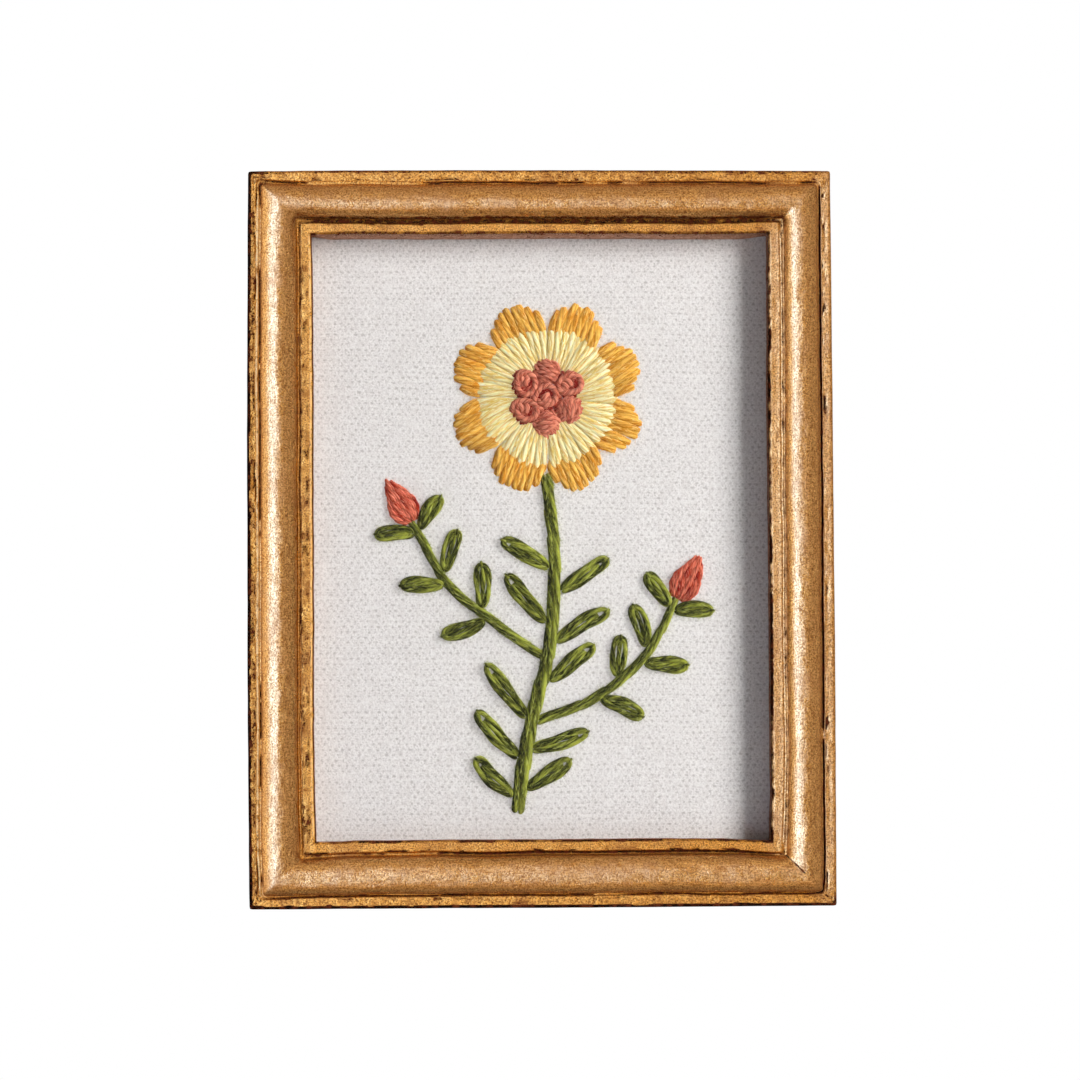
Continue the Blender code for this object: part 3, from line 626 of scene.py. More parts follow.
class Yarn:
    """Collects strands of wool and their loose fibres, and makes one object of them."""

    def __init__(self, seed):
        self.rng = np.random.default_rng(seed)
        self.verts, self.faces, self.uvs, self.marks = [], [], [], []
        self.count = 0
        self.skin = []

    def add(self, verts, faces, uvs, marks):
        self.faces.append(np.asarray(faces) + self.count)
        self.verts.append(verts)
        self.uvs.append(uvs)
        self.marks.append(marks)
        self.count += len(verts)

    def strand(self, path, radius, pitch, depth=0.18, plies=2, sides=8, shade=0.5, ply_tone=(0.0, 1.0),
               flat=1.0):
        """One twisted yarn along a path, with one radius or one for each point; flat squashes it."""
        path = np.asarray(path, float)
        count = len(path)
        radius = np.broadcast_to(np.asarray(radius, float), (count,))
        ahead = np.gradient(path, axis=0)
        ahead /= np.maximum(np.linalg.norm(ahead, axis=1), 1e-12)[:, None]
        side = np.cross(ahead, (0.0, -1.0, 0.0))
        side /= np.maximum(np.linalg.norm(side, axis=1), 1e-9)[:, None]
        up = np.cross(side, ahead)
        run = np.concatenate([[0], np.cumsum(np.linalg.norm(np.diff(path, axis=0), axis=1))])
        turn = TAU * run / pitch + self.rng.uniform(0, TAU)
        around = TAU * np.arange(sides) / sides
        lead = around[None, :] - turn[:, None]
        lobe = np.cos(plies * lead)
        reach = radius[:, None] * (1 + depth * lobe)
        ring = (side[:, None, :] * np.cos(around)[None, :, None]
                + up[:, None, :] * (flat * np.sin(around))[None, :, None]) * reach[:, :, None]
        verts = (path[:, None, :] + ring).reshape(-1, 3)
        which = np.floor(np.mod(lead / TAU * plies + 0.5, plies)).astype(int) % len(ply_tone)
        soft = np.array(ply_tone)[which]
        groove = 0.5 + 0.5 * lobe
        marks = np.stack([soft, np.full_like(soft, shade), groove], -1).reshape(-1, 3)
        start = self.rng.uniform(0, 50)
        uvs = np.stack([np.broadcast_to(run[:, None] * 1000 + start, lead.shape), lead], -1).reshape(-1, 2)
        index = np.arange(count * sides).reshape(count, sides)
        after = np.roll(index, -1, axis=1)
        faces = np.stack([index[:-1], after[:-1], after[1:], index[1:]], -1).reshape(-1, 4)
        self.add(verts, faces, uvs, marks)
        self.cap(path[0], index[0][::-1], uvs[0], marks[0])
        self.cap(path[-1], index[-1], uvs[-1], marks[-1], len(verts) + 1)
        outward = ring / np.maximum(np.linalg.norm(ring, axis=2, keepdims=True), 1e-9)
        self.skin.append((verts, outward.reshape(-1, 3), np.repeat(ahead, sides, axis=0), marks))

    def cap(self, point, ring, uv, mark, back=None):
        """Closes an end of the last strand with triangles to one point."""
        base = self.count - (back if back is not None else len(self.verts[-1]))
        tip = np.full(len(ring), self.count)
        fan = np.stack([ring + base, np.roll(ring, -1) + base, tip, tip], 1) - self.count
        self.add(np.array([point]), fan, uv[None, :], mark[None, :])

    def stitch(self, points, arch, sunk, rise, size, thin, pitch, **looks):
        """A strand that comes up out of the linen, arches and goes in again, with thin ends."""
        self.strand(on_linen(points, rise * arch - sunk), size * (thin + (1 - thin) * arch), pitch, **looks)

    def fuzz(self, count, length, thickness, low_tone=0.0):
        """Loose fibres: thin bent prisms that start in the wool and stand a little off it."""
        rng = self.rng
        verts, outward, ahead, marks = (np.concatenate([s[k] for s in self.skin]) for k in range(4))
        front = np.flatnonzero((outward[:, 1] < 0.45) & (verts[:, 1] < -LINEN_FRONT - 0.05 * MM))
        picks = rng.choice(front, count)
        reach = length * rng.uniform(0.35, 1.0, count)
        lean = ahead[picks] * (rng.choice((-1.0, 1.0), count) * rng.uniform(0.5, 1.8, count))[:, None]
        way = outward[picks] * rng.uniform(0.25, 1.0, count)[:, None] + lean + rng.normal(0, 0.4, (count, 3))
        way /= np.linalg.norm(way, axis=1)[:, None]
        bend = rng.normal(0, 0.55, (count, 3)) + np.array((0, 0.45, 0))
        side = np.cross(way, (0.3, -0.9, 0.2))
        side /= np.maximum(np.linalg.norm(side, axis=1), 1e-9)[:, None]
        up = np.cross(side, way)
        rows = []
        for step in (0.0, 0.5, 1.0):
            point = verts[picks] - outward[picks] * 0.05 * MM
            point = point + reach[:, None] * (way * step + 0.5 * bend * step ** 2)
            point[:, 1] = np.minimum(point[:, 1], -LINEN_FRONT + 0.05 * MM)
            if step == 1.0:
                rows.append(point)
                continue
            size = thickness * (1 - 0.5 * step)
            for turn in (0, TAU / 3, 2 * TAU / 3):
                rows.append(point + (side * math.cos(turn) + up * math.sin(turn)) * size)
        hairs = np.stack(rows, 1)
        plan = [(2, 1, 0, 0)]
        plan += [(j, (j + 1) % 3, 3 + (j + 1) % 3, 3 + j) for j in range(3)]
        plan += [(3 + j, 3 + (j + 1) % 3, 6, 6) for j in range(3)]
        faces = (np.array(plan)[None] + (np.arange(count) * 7)[:, None, None]).reshape(-1, 4)
        tones = np.clip(marks[picks, 0] + rng.uniform(-0.15, 0.45, count), low_tone, 1.0)
        tone_row = np.stack([tones, np.minimum(1, marks[picks, 1] + 0.2), np.ones(count)], 1)
        uvs = np.stack([np.arange(count) * 0.37 % 50, np.full(count, 0.5)], 1)
        self.add(hairs.reshape(-1, 3), faces, np.repeat(uvs, 7, axis=0), np.repeat(tone_row, 7, axis=0))

    def build(self, name, material, slot, nodes):
        faces = [tuple(f[:3]) if f[2] == f[3] else tuple(f) for f in np.concatenate(self.faces).tolist()]
        made = add_mesh(name, np.concatenate(self.verts), faces, uvs=np.concatenate(self.uvs),
                        colours=np.concatenate(self.marks))
        made.data.materials.append(material)
        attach(made, "root")
        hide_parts(*nodes)
        return made


def wool_material(name, dark, light, shadow, deep=None, stray=None, mixing=0.40, crossing=0.60,
                  grain=(0.42, 1.5)):
    """Wool of two plies, from dark to light, with fibres that follow the twist and strays across it."""
    made = Shader(name)
    ply, shade, groove = made.marks()
    along = made.grain()
    fibre = made.noise(made.stretch(along, *grain), 1.0, 2.0, 0.6)
    thin = made.noise(made.stretch(along, grain[0] * 1.6, grain[1] * 2.4), 1.0, 1.0, 0.5)
    turned = made.node("ShaderNodeMapping", {"Vector": along, "Rotation": (0, 0, math.radians(24))})
    cross = made.noise(made.stretch(turned, 0.45, 3.2), 1.0, 1.0, 0.5)
    share = made.plus(ply, made.steps(fibre, 0.36, 0.64, -mixing, mixing))
    share = made.plus(share, made.steps(thin, 0.36, 0.64, -0.6 * mixing, 0.6 * mixing), clamp=True)
    colour = made.mix(share, dark, light)
    if deep is not None:
        colour = made.mix(made.steps(ply, 0.02, 0.22, 1.0, 0.0), colour, deep)
    if stray is not None:
        colour = made.mix(made.steps(cross, crossing, crossing + 0.07, 0.0, 0.75), colour, stray)
    colour = made.mix(made.steps(groove, 0.0, 0.5, 0.65, 0.0), colour, shadow)
    gain = made.steps(shade, 0.0, 1.0, 0.80, 1.10)
    grey = made.node("ShaderNodeCombineColor", {0: gain, 1: gain, 2: gain})
    colour = made.mix(1.0, colour, grey.outputs[0], blend="MULTIPLY")
    relief = made.plus(fibre, made.times(made.plus(thin, cross), 0.5))
    return made.finish(colour, made.bump(relief, 0.9, 0.00014), Roughness=0.9, Specular_IOR_Level=0.10,
                       Sheen_Weight=0.10, Sheen_Roughness=0.5, Subsurface_Weight=0.25,
                       Subsurface_Radius=(1.0, 0.75, 0.45), Subsurface_Scale=0.0005)


# The sprig, in metres from the linen's centre, as in the solids

FLOWER = np.array((1.5, 31.0)) * MM
FLOWER_RADIUS = 21.5 * MM
PETALS = 8
PETAL_TURN = math.radians(22.5)
PETAL_HALF_ANGLE = math.pi / PETALS
PETAL_TIP = FLOWER_RADIUS * math.sin(PETAL_HALF_ANGLE) / (1 + math.sin(PETAL_HALF_ANGLE))
PETAL_SPLIT = 16.0 * MM
KNOT_RADIUS = 2.85 * MM
STEM_HALF_WIDTH = 1.55 * MM
STALK_HALF_WIDTH = 1.1 * MM
LEAF_HALF_WIDTH = 1.95 * MM
LEAF_STAND_OFF = 0.5 * MM
BUD_LENGTH = 11.5 * MM
BUD_HALF_WIDTH = 3.6 * MM
BUD_STITCHES = 13
STITCH_LENGTH = 11.0 * MM
STITCH_ADVANCE = 6.2 * MM
HAIR = 0.026 * MM

# Routes of the stems, in millimetres from the linen's centre: x, z
ROUTES = {
    "stem": [(-5.5, -59.5), (-3.2, -44.0), (1.2, -26.0), (3.0, -9.0), (1.6, 12.4)],
    "left": [(-1.3, -24.6), (-10.0, -18.5), (-20.5, -9.5), (-28.0, 3.5)],
    "right": [(0.6, -39.1), (11.0, -35.0), (22.0, -26.5), (29.5, -13.5)],
}

# Leaves: route, place along it from 0 to 1, side (1 left, -1 right), spread in degrees, length in mm
LeafRow = namedtuple("LeafRow", "route place side spread length")
LEAF_ROWS = [
    LeafRow("stem", 0.057, 1, 52, 11.0),
    LeafRow("stem", 0.085, -1, 50, 11.0),
    LeafRow("stem", 0.171, 1, 50, 13.0),
    LeafRow("stem", 0.199, -1, 62, 12.5),
    LeafRow("stem", 0.294, 1, 52, 14.0),
    LeafRow("stem", 0.417, -1, 38, 12.0),
    LeafRow("stem", 0.531, -1, 50, 13.0),
    LeafRow("stem", 0.588, 1, 46, 13.0),
    LeafRow("stem", 0.682, -1, 54, 12.0),
    LeafRow("stem", 0.749, 1, 56, 11.5),
    LeafRow("left", 0.34, 1, 56, 9.5),
    LeafRow("left", 0.40, -1, 52, 9.5),
    LeafRow("left", 0.64, 1, 54, 9.0),
    LeafRow("left", 0.70, -1, 50, 9.0),
    LeafRow("left", 0.96, 1, 62, 8.0),
    LeafRow("left", 0.97, -1, 62, 8.0),
    LeafRow("right", 0.34, -1, 56, 9.5),
    LeafRow("right", 0.48, 1, 46, 8.5),
    LeafRow("right", 0.64, -1, 54, 9.0),
    LeafRow("right", 0.72, 1, 50, 9.0),
    LeafRow("right", 0.96, -1, 62, 8.0),
    LeafRow("right", 0.97, 1, 62, 8.0),
]


def smooth_route(corners, step):
    """Points about one step apart on a smooth curve through the corners, in metres."""
    points = np.array(corners, float) * MM
    padded = np.vstack([2 * points[0] - points[1], points, 2 * points[-1] - points[-2]])
    route = []
    for i in range(1, len(padded) - 2):
        before, start, end, after = padded[i - 1:i + 3]
        pieces = max(2, round(np.linalg.norm(end - start) / step))
        for k in range(pieces):
            t = k / pieces
            route.append(0.5 * (2 * start + (end - before) * t
                                + (2 * before - 5 * start + 4 * end - after) * t * t
                                + (3 * start - before - 3 * end + after) * t ** 3))
    route.append(points[-1])
    return np.array(route)


def place_on(route, place):
    """The point at a share of the route's length, and the route's direction there."""
    spans = np.linalg.norm(np.diff(route, axis=0), axis=1)
    run = np.concatenate([[0], np.cumsum(spans)])
    at = np.clip(place, 0, 1) * run[-1]
    i = min(np.searchsorted(run, at, side="right") - 1, len(spans) - 1)
    step = route[i + 1] - route[i]
    return route[i] + step * (at - run[i]) / spans[i], math.atan2(step[1], step[0])


def lengthened(route, before, after):
    """The route with straight pieces added at its two ends."""
    first, last = route[0] - route[1], route[-1] - route[-2]
    first = route[0] + first / np.linalg.norm(first) * before
    last = route[-1] + last / np.linalg.norm(last) * after
    return np.vstack([first, route, last])


def on_linen(points, height):
    """Flat points from the linen's centre, lifted off its face."""
    points = np.asarray(points, float)
    height = np.broadcast_to(height, (len(points),))
    return np.stack([points[:, 0], -(LINEN_FRONT + height), CENTRE_Z + points[:, 1]], 1)


def turned(turn):
    """Unit vectors in the linen's plane: along a direction and to its left."""
    return np.array((math.cos(turn), math.sin(turn))), np.array((-math.sin(turn), math.cos(turn)))


def laid(centre, turn, run, across):
    """Points at distances along and across a direction from a centre."""
    ahead, left = turned(turn)
    return centre + np.outer(run, ahead) + np.outer(across, left)


def arched(t, power):
    """From 0 at a stitch's ends to 1 in its middle."""
    return np.clip(np.sin(math.pi * t), 0, 1) ** power


def petal_reach(share):
    """How far out a petal goes at a share of its widest half width."""
    return FLOWER_RADIUS - PETAL_TIP + PETAL_TIP * math.sqrt(max(0.0, 1 - min(1.0, abs(share)) ** 2))


def satin_row(yarn, turn, inner, outer, stitches, rise, ragged, tones):
    """Satin stitches of thick, loosely twisted yarn, fanned over a petal between two radii."""
    rng = yarn.rng
    t = np.linspace(0, 1, 30)
    for k in range(stitches):
        middle = -1 + 2 * (k + 0.5) / stitches + rng.uniform(-0.03, 0.03)
        start = inner(middle) + rng.uniform(-0.7, 0.7) * ragged
        end = outer(middle) + rng.uniform(-1, 1) * ragged
        lean = rng.uniform(-0.03, 0.03)
        radius = start + (end - start) * t
        half = np.minimum(radius * math.tan(PETAL_HALF_ANGLE), PETAL_TIP)
        across = half * middle * 0.95 + lean * (radius - start)
        across = across + 0.06 * MM * np.sin(TAU * (t * 1.1 + rng.uniform()))
        height = rise + 0.5 * MM + rng.uniform(-0.08, 0.10) * MM
        size = half / stitches * 1.20 * rng.uniform(0.94, 1.10)
        yarn.stitch(laid(FLOWER, turn, radius, across), arched(t, 0.32), 0.5 * MM, height, size, 0.62,
                    rng.uniform(15, 24) * MM, depth=0.11, plies=4, sides=16, shade=rng.uniform(0.35, 0.95),
                    ply_tone=tones, flat=0.72)


def build_petals():
    pale, gold = Yarn(51), Yarn(52)
    for i in range(PETALS):
        turn = PETAL_TURN + TAU * i / PETALS
        satin_row(gold, turn, lambda s: PETAL_SPLIT - 1.8 * MM - 1.2 * MM * abs(s),
                  lambda s: petal_reach(s) - 0.1 * MM, 8, 0.40 * MM, 0.40 * MM, (0.25, 0.80, 0.45, 0.95))
        satin_row(pale, turn, lambda s: 4.0 * MM,
                  lambda s: PETAL_SPLIT - 0.1 * MM - 1.5 * MM * abs(s) ** 2, 7, 0.60 * MM, 0.60 * MM,
                  (0.35, 0.85, 0.55, 1.0))
    pale.fuzz(6400, 1.1 * MM, HAIR, 0.7)
    gold.fuzz(6800, 1.2 * MM, 0.028 * MM, 0.55)
    cream = wool_material("wool_pale", tone(228, 196, 96), tone(255, 248, 196), tone(222, 176, 74),
                          stray=tone(255, 253, 228), mixing=0.50, grain=(0.45, 3.2))
    amber = wool_material("wool_gold", tone(208, 134, 30), tone(252, 202, 96), tone(188, 114, 22),
                          stray=tone(255, 226, 142), mixing=0.50, grain=(0.45, 3.2))
    pale.build("petals_pale", cream, "pale_yarn", [f"petal_{i + 1}_pale" for i in range(PETALS)])
    gold.build("petals_gold", amber, "gold_yarn", [f"petal_{i + 1}_gold" for i in range(PETALS)])


def coil(yarn, centre, inside, outside, rise, thickness, turns, shade, tones):
    """Yarn wound in a flat spiral between two radii, over a low dome."""
    rng = yarn.rng
    t = np.linspace(0, 1, int(38 * turns))
    angle = rng.uniform(0, TAU) + TAU * turns * t
    squash = 1 + 0.10 * np.cos(2 * angle + rng.uniform(0, TAU))
    squash = squash + 0.05 * np.cos(3 * angle * 0.83 + rng.uniform(0, TAU))
    radius = (inside + (outside - thickness - inside) * t) * squash
    points = centre + np.stack([np.cos(angle), np.sin(angle)], 1) * radius[:, None]
    dome = np.sqrt(np.clip(1 - (radius / (outside * 1.12)) ** 2, 0, 1))
    height = 0.15 * MM + rise * dome + 0.10 * MM * np.sin(2.3 * angle + rng.uniform(0, TAU))
    height = np.where(t > 0.95, height - (t - 0.95) / 0.05 * 0.4 * MM, height)
    size = thickness * np.minimum(1, np.minimum(t / 0.06 + 0.3, (1 - t) / 0.03 + 0.4))
    yarn.strand(on_linen(points, height), size, 2.6 * MM, depth=0.12, shade=shade, ply_tone=tones)


def mound(yarn, centre, reach, turn, count, rise, shade, tones):
    """Short strands laid side by side over a low dome."""
    rng = yarn.rng
    t = np.linspace(0, 1, 18)
    for k in range(count):
        off = -1 + 2 * (k + 0.5) / count + rng.uniform(-0.06, 0.06)
        half = reach * math.sqrt(max(0.12, 1 - off * off)) * rng.uniform(0.92, 1.06)
        across = off * reach * 0.86 + 0.16 * MM * np.sin(TAU * t + rng.uniform(0, TAU))
        height = 0.2 * MM + rise * math.sqrt(max(0.2, 1 - 0.8 * off * off))
        yarn.stitch(laid(centre, turn, half * (2 * t - 1), across), arched(t, 0.45), 0.2 * MM, height,
                    reach / count * 1.35, 0.7, rng.uniform(4.5, 9) * MM, depth=0.13, plies=3, sides=12,
                    shade=shade * rng.uniform(0.75, 1.05), ply_tone=tones)


def build_knots():
    yarn = Yarn(53)
    rng = yarn.rng
    ring = [turned(math.radians(90) + TAU * i / 6)[0] * (2 * KNOT_RADIUS - 0.1 * MM) for i in range(6)]
    coral, red = (0.45, 0.95, 0.7), (0.0, 0.14, 0.05)
    for i, step in enumerate([np.zeros(2)] + ring):
        centre = FLOWER + step + rng.uniform(-0.2, 0.2, 2) * MM
        shade, turn = rng.uniform(0.55, 0.95), rng.uniform(0, math.pi)
        wound = i in (0, 2, 3, 6)
        mound(yarn, centre, 3.15 * MM, turn, 6, 1.15 * MM, shade, red if wound else coral)
        if wound:
            coil(yarn, centre, 1.75 * MM, 3.30 * MM, 1.75 * MM, 0.66 * MM, 1.2, shade, coral)
            beside = centre + turned(turn)[1] * 0.7 * MM
            mound(yarn, beside, 1.3 * MM, turn + 0.5, 2, 1.75 * MM, shade, coral)
        else:
            mound(yarn, centre, 2.5 * MM, turn + rng.uniform(0.4, 1.1), 5, 1.75 * MM, shade, coral)
    yarn.fuzz(4600, 1.1 * MM, HAIR, 0.6)
    wool = wool_material("wool_coral", tone(172, 72, 52), tone(226, 144, 116), tone(130, 46, 32),
                         deep=tone(128, 26, 16), stray=tone(232, 166, 140), grain=(0.5, 1.2))
    yarn.build("knots", wool, "coral_yarn", [f"knot_{i}" for i in range(7)])


def build_buds(routes):
    yarn = Yarn(54)
    rng = yarn.rng
    t = np.linspace(0, 1, 28)
    full = np.sin(math.pi * (0.12 + 0.70 * t ** 0.85))
    tones = ((0.55, 1.0), (0.0, 0.25), (0.35, 0.9), (0.7, 1.0), (0.15, 0.6))
    for side in ("left", "right"):
        end, turn = place_on(routes[side], 1.0)
        for k in range(BUD_STITCHES):
            share = -1 + 2 * (k + 0.5) / BUD_STITCHES
            reach = (BUD_LENGTH - 0.4 * MM) * (1 - 0.36 * share ** 2 + rng.uniform(-0.08, 0.03))
            points = laid(end, turn, 0.4 * MM + reach * t, share * BUD_HALF_WIDTH * 0.9 * full)
            height = 1.4 * MM - 0.35 * MM * share ** 2 + rng.uniform(-0.15, 0.25) * MM
            yarn.stitch(points, arched(t, 0.4), 0.4 * MM, height, 0.42 * MM, 0.65,
                        rng.uniform(3.6, 5.0) * MM, shade=rng.uniform(0.4, 0.95),
                        ply_tone=tones[(k * 2 + (side == "left")) % 5])
    yarn.fuzz(1500, 1.1 * MM, HAIR, 0.5)
    wool = wool_material("wool_bud", tone(184, 60, 36), tone(232, 132, 104), tone(124, 30, 18),
                         deep=tone(138, 26, 16), stray=tone(240, 160, 132), grain=(0.40, 1.1))
    yarn.build("buds", wool, "coral_yarn", ["bud_left", "bud_right"])


def build_leaves(routes, material):
    """Each leaf is a detached chain: one marled strand out, round the tip and back, over a filling."""
    yarn = Yarn(55)
    rng = yarn.rng
    loop_tones = ((0.05, 0.75), (0.15, 0.55), (0.0, 0.62))
    fill_tones = ((0.55, 0.95), (0.0, 0.30), (0.25, 0.85))
    for i, row in enumerate(LEAF_ROWS):
        point, turn = place_on(routes[row.route], row.place)
        stem_half = STEM_HALF_WIDTH if row.route == "stem" else STALK_HALF_WIDTH
        base = point + turned(turn)[1] * row.side * (stem_half + FIT_GAP + LEAF_STAND_OFF)
        turn = turn + row.side * math.radians(row.spread)
        length = row.length * MM
        size = rng.uniform(0.62, 0.70) * MM
        bow = 0.06 * length * rng.uniform(-1, 1)
        t = np.linspace(0, 1, 80)
        angle = math.pi * (2 * t - 1)
        out = (length - 0.9 * size) * (0.5 + 0.5 * np.cos(angle)) ** 0.90
        swing = (LEAF_HALF_WIDTH - size - 0.1 * MM) * np.sign(angle) * np.abs(np.sin(angle)) ** 0.72
        swing = swing * (0.86 + 0.3 * out / length) + 0.08 * MM * np.sin(TAU * (t * 1.3 + rng.uniform()))
        points = laid(base, turn, out - 0.7 * MM, swing + bow * np.sin(math.pi * out / length))
        height = 0.50 * MM + 0.10 * MM * np.sin(TAU * t * 2)
        yarn.strand(on_linen(points, height), size, rng.uniform(12, 20) * MM, sides=12,
                    shade=rng.uniform(0.35, 0.95), ply_tone=loop_tones[i % 3])
        t = np.linspace(0, 1, 30)
        for inner in ((0.0,) if row.length < 10 else (-0.28, 0.30)):
            out = length * (0.02 + (0.84 - abs(inner) * 0.2) * t)
            swing = inner * 2.0 * MM * np.sin(math.pi * (0.1 + 0.75 * t))
            swing = bow * np.sin(math.pi * out / length) + swing
            yarn.stitch(laid(base, turn, out - 0.7 * MM, swing), arched(t, 0.35), 0.4 * MM,
                        (0.95 + abs(inner)) * MM, 0.56 * MM, 0.6, rng.uniform(9, 14) * MM, sides=10,
                        shade=rng.uniform(0.4, 1.0), ply_tone=fill_tones[(i + (inner > 0)) % 3])
        t = np.linspace(0, 1, 14)
        tack = laid(base, turn, length - 0.9 * MM + 1.3 * MM * (t - 0.7), 0 * t)
        yarn.stitch(tack, arched(t, 0.5), 0.4 * MM, 1.55 * MM, 0.34 * MM, 0.6, 2.8 * MM,
                    shade=rng.uniform(0.3, 0.8), ply_tone=(0.05, 0.7))
    yarn.fuzz(8000, 1.3 * MM, HAIR, 0.20)
    yarn.build("leaves", material, "green_yarn", [f"leaf_{i + 1:02d}" for i in range(len(LEAF_ROWS))])


def stem_row(yarn, route, half_width, offset, tones, start):
    """A row of stem stitch: long stitches that overlap, each a little across the line."""
    rng = yarn.rng
    total = np.linalg.norm(np.diff(route, axis=0), axis=1).sum()
    t = np.linspace(0, 1, 40)
    at = -start
    while at < total - 2.5 * MM:
        low, high = max(0.0, at), min(total, at + STITCH_LENGTH * rng.uniform(0.88, 1.12))
        places = (low + (high - low) * t) / total
        narrow = 1 - 0.18 * places
        weave = 0.10 * np.sin(TAU * places * total / (24 * MM) + 1.2)
        slant = (offset + weave + 0.20 * (2 * t - 1)) * half_width * narrow
        found = [place_on(route, place) for place in places]
        points = np.array([point + turned(turn)[1] * aside for (point, turn), aside in zip(found, slant)])
        height = 1.05 * MM + rng.uniform(-0.08, 0.12) * MM
        yarn.stitch(points, arched(t, 0.30), 0.45 * MM, height, 0.52 * half_width * narrow, 0.60,
                    rng.uniform(14, 22) * MM, depth=0.12, sides=10, shade=rng.uniform(0.35, 0.9),
                    ply_tone=tones)
        at += STITCH_ADVANCE


def build_stems(routes, material):
    stalk_ends = (1.7 * MM, 0.3 * MM)
    for name, route, half_width, ends, hairs, seed in (
            ("stem_main", "stem", STEM_HALF_WIDTH, (0.0, 1.6 * MM), 3400, 56),
            ("stalk_left", "left", STALK_HALF_WIDTH, stalk_ends, 1700, 57),
            ("stalk_right", "right", STALK_HALF_WIDTH, stalk_ends, 1700, 58)):
        yarn = Yarn(seed)
        line = lengthened(routes[route], *ends)
        stem_row(yarn, line, half_width, 0.46, (0.0, 0.35), 0.0)
        stem_row(yarn, line, half_width, -0.46, (0.45, 1.0), 3.0 * MM)
        yarn.fuzz(hairs, 1.3 * MM, HAIR, 0.20)
        yarn.build(name + "_wool", material, "green_yarn", [name])


def board_material():
    made = Shader("board_fibre")
    here = made.place()
    flecks = made.noise(here, 900, 5.0, 0.7)
    cloud = made.noise(here, 70, 2.0, 0.5)
    colour = made.mix(made.steps(flecks, 0.35, 0.68), tone(104, 76, 52), tone(156, 122, 88))
    colour = made.mix(made.steps(cloud, 0.35, 0.7, 0.0, 0.4), colour, tone(126, 96, 66))
    return made.finish(colour, made.bump(flecks, 0.4, 0.0002), Roughness=0.85)


def dress_board():
    board = bpy.data.objects["backing_board"]
    board.data.materials.clear()
    board.data.materials.append(board_material())


# Camera, floor and light

def add_camera():
    level = math.cos(CAMERA_PITCH)
    ahead = np.array((math.sin(CAMERA_YAW) * level, math.cos(CAMERA_YAW) * level, math.sin(CAMERA_PITCH)))
    right = np.cross(ahead, (0, 0, 1))
    right /= np.linalg.norm(right)
    up = np.cross(right, ahead)
    turned_right = right * math.cos(CAMERA_ROLL) + up * math.sin(CAMERA_ROLL)
    turned_up = -right * math.sin(CAMERA_ROLL) + up * math.cos(CAMERA_ROLL)
    target = np.array((AIM_X, -LEDGE_DEPTH, CENTRE_Z + AIM_Z))
    data = bpy.data.cameras.new("camera")
    data.sensor_width = 36.0
    data.lens = FOCAL_PIXELS / PHOTO_SIDE * data.sensor_width
    data.clip_start = 0.05
    data.clip_end = 20.0
    camera = bpy.data.objects.new("camera", data)
    bpy.context.scene.collection.objects.link(camera)
    place = target - ahead * CAMERA_DISTANCE
    rows = [[turned_right[i], turned_up[i], -ahead[i], place[i]] for i in range(3)] + [[0, 0, 0, 1]]
    camera.matrix_world = Matrix(rows)
    bpy.context.scene.camera = camera


def add_light(name, direction, distance, size, power, colour, glossy=True, diffuse=True):
    """An area light that faces the picture's middle from a direction."""
    way = Vector(direction).normalized()
    data = bpy.data.lights.new(name, "AREA")
    data.shape = "RECTANGLE"
    data.size, data.size_y = size
    data.energy = power
    data.color = colour
    light = bpy.data.objects.new(name, data)
    light.location = Vector((0, -LINEN_FRONT, CENTRE_Z)) + way * distance
    light.rotation_mode = "QUATERNION"
    light.rotation_quaternion = way.to_track_quat("Z", "Y")
    light.visible_glossy = glossy
    light.visible_diffuse = diffuse
    light.visible_camera = False
    bpy.context.scene.collection.objects.link(light)
    return light


# Panels that only the gilding mirrors: azimuth and elevation of their sides in degrees, as seen from the
# picture, and their brightness and colour
CARD_DISTANCE = 3.0
CARD_ROWS = {
    "strip": ((-51, -11), (-28, 28), 10.2, (0.24, 0.40, 1.0)),
    "card_left": ((-75, -50), (-35, 35), 1.60, (0.98, 0.95, 0.82)),
    "card_side": ((-100, -75), (-35, 35), 1.25, (1.0, 0.90, 0.78)),
    "card_rear": ((-140, -100), (-35, 35), 1.70, (1.0, 0.90, 0.78)),
    "card_beyond": ((80, 130), (-40, 40), 0.42, (1.0, 0.77, 0.60)),
    "card_front": ((-12, 9), (-22, 14), 0.92, (1.0, 0.80, 0.05)),
    "card_right": ((9, 80), (-40, 40), 0.40, (1.0, 0.77, 0.64)),
    "card_top": ((-25, 25), (14, 70), 0.74, (1.0, 0.80, 0.56)),
    "card_far": ((-40, 40), (70, 125), 0.45, (1.0, 0.70, 0.50)),
    "card_low": ((-25, 25), (-60, -22), 0.72, (1.0, 0.71, 0.40)),
    "card_under": ((-40, 40), (-115, -60), 0.25, (1.0, 0.72, 0.50)),
}


def add_cards():
    for name, (azimuth, elevation, level, colour) in CARD_ROWS.items():
        middle, rise = math.radians(sum(azimuth) / 2), math.radians(sum(elevation) / 2)
        way = (math.sin(middle) * math.cos(rise), -math.cos(middle) * math.cos(rise), math.sin(rise))
        wide, tall = (2 * CARD_DISTANCE * math.tan(math.radians(high - low) / 2)
                      for low, high in (azimuth, elevation))
        power = level * math.pi * wide * tall
        add_light(name, way, CARD_DISTANCE, (wide, tall), power, colour, diffuse=False)


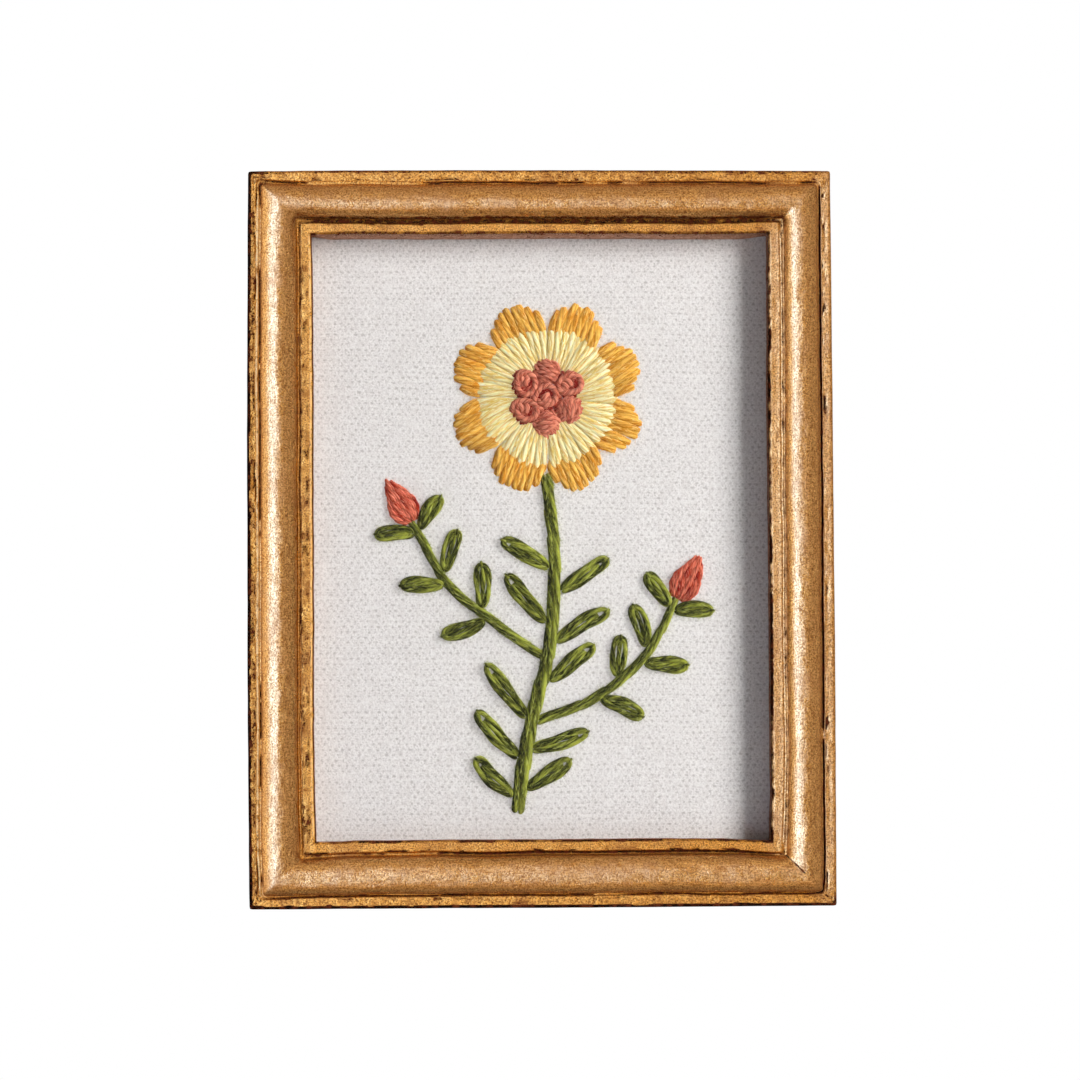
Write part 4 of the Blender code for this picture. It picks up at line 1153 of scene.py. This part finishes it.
def add_world():
    world = bpy.data.worlds.new("studio")
    world.use_nodes = True
    tree = world.node_tree
    back = tree.nodes["Background"]
    back.inputs["Color"].default_value = (1.0, 0.92, 0.87, 1.0)
    back.inputs["Strength"].default_value = 0.13
    white = tree.nodes.new("ShaderNodeBackground")
    white.inputs["Color"].default_value = (1, 1, 1, 1)
    white.inputs["Strength"].default_value = 1.0
    path = tree.nodes.new("ShaderNodeLightPath")
    mix = tree.nodes.new("ShaderNodeMixShader")
    tree.links.new(path.outputs["Is Camera Ray"], mix.inputs[0])
    tree.links.new(back.outputs[0], mix.inputs[1])
    tree.links.new(white.outputs[0], mix.inputs[2])
    tree.links.new(mix.outputs[0], tree.nodes["World Output"].inputs["Surface"])
    bpy.context.scene.world = world
    bpy.context.scene.view_settings.view_transform = "Standard"
    bpy.context.scene.view_settings.look = "None"


def add_floor():
    """A plain pale floor, under the picture and out of the photograph's view."""
    drop = 0.15
    reach = 0.9
    low = CENTRE_Z - FRAME_HEIGHT / 2 - drop
    corners = [(-reach, -reach, low), (reach, -reach, low), (reach, reach, low), (-reach, reach, low)]
    floor = add_mesh("floor", np.array(corners), [(0, 1, 2, 3)])
    made = Shader("floor_paint")
    colour = made.mix(made.noise(made.place(), 6, 2.0, 0.5), tone(232, 231, 229), tone(240, 239, 237))
    floor.data.materials.append(made.finish(colour, Roughness=0.7))
    floor.visible_glossy = False


def add_key(moulding, linen):
    """The main light, from the right. Part of it passes the stitches, so that their shadows stay soft."""
    way = (1.25, -1.0, 0.49)
    size = (0.74, 1.25)
    colour = (1.0, 0.995, 0.985)
    passing = add_light("key_soft", way, 2.0, size, 30.4, colour, glossy=False)
    add_light("key", way, 2.0, size, 17.6, colour, glossy=False)
    casts = bpy.data.collections.new("frame_shadow")
    casts.objects.link(moulding)
    casts.objects.link(linen)
    passing.light_linking.blocker_collection = casts


def main():
    add_camera()
    add_world()
    add_floor()
    add_cards()
    moulding = build_frame()
    linen = build_linen()
    add_key(moulding, linen)
    dress_board()
    routes = {name: smooth_route(corners, 0.4 * MM) for name, corners in ROUTES.items()}
    green = wool_material("wool_green", tone(44, 47, 14), tone(166, 173, 70), tone(22, 24, 8),
                          stray=tone(186, 192, 104), mixing=0.34, crossing=0.60)
    build_stems(routes, green)
    build_leaves(routes, green)
    build_petals()
    build_knots()
    build_buds(routes)


main()
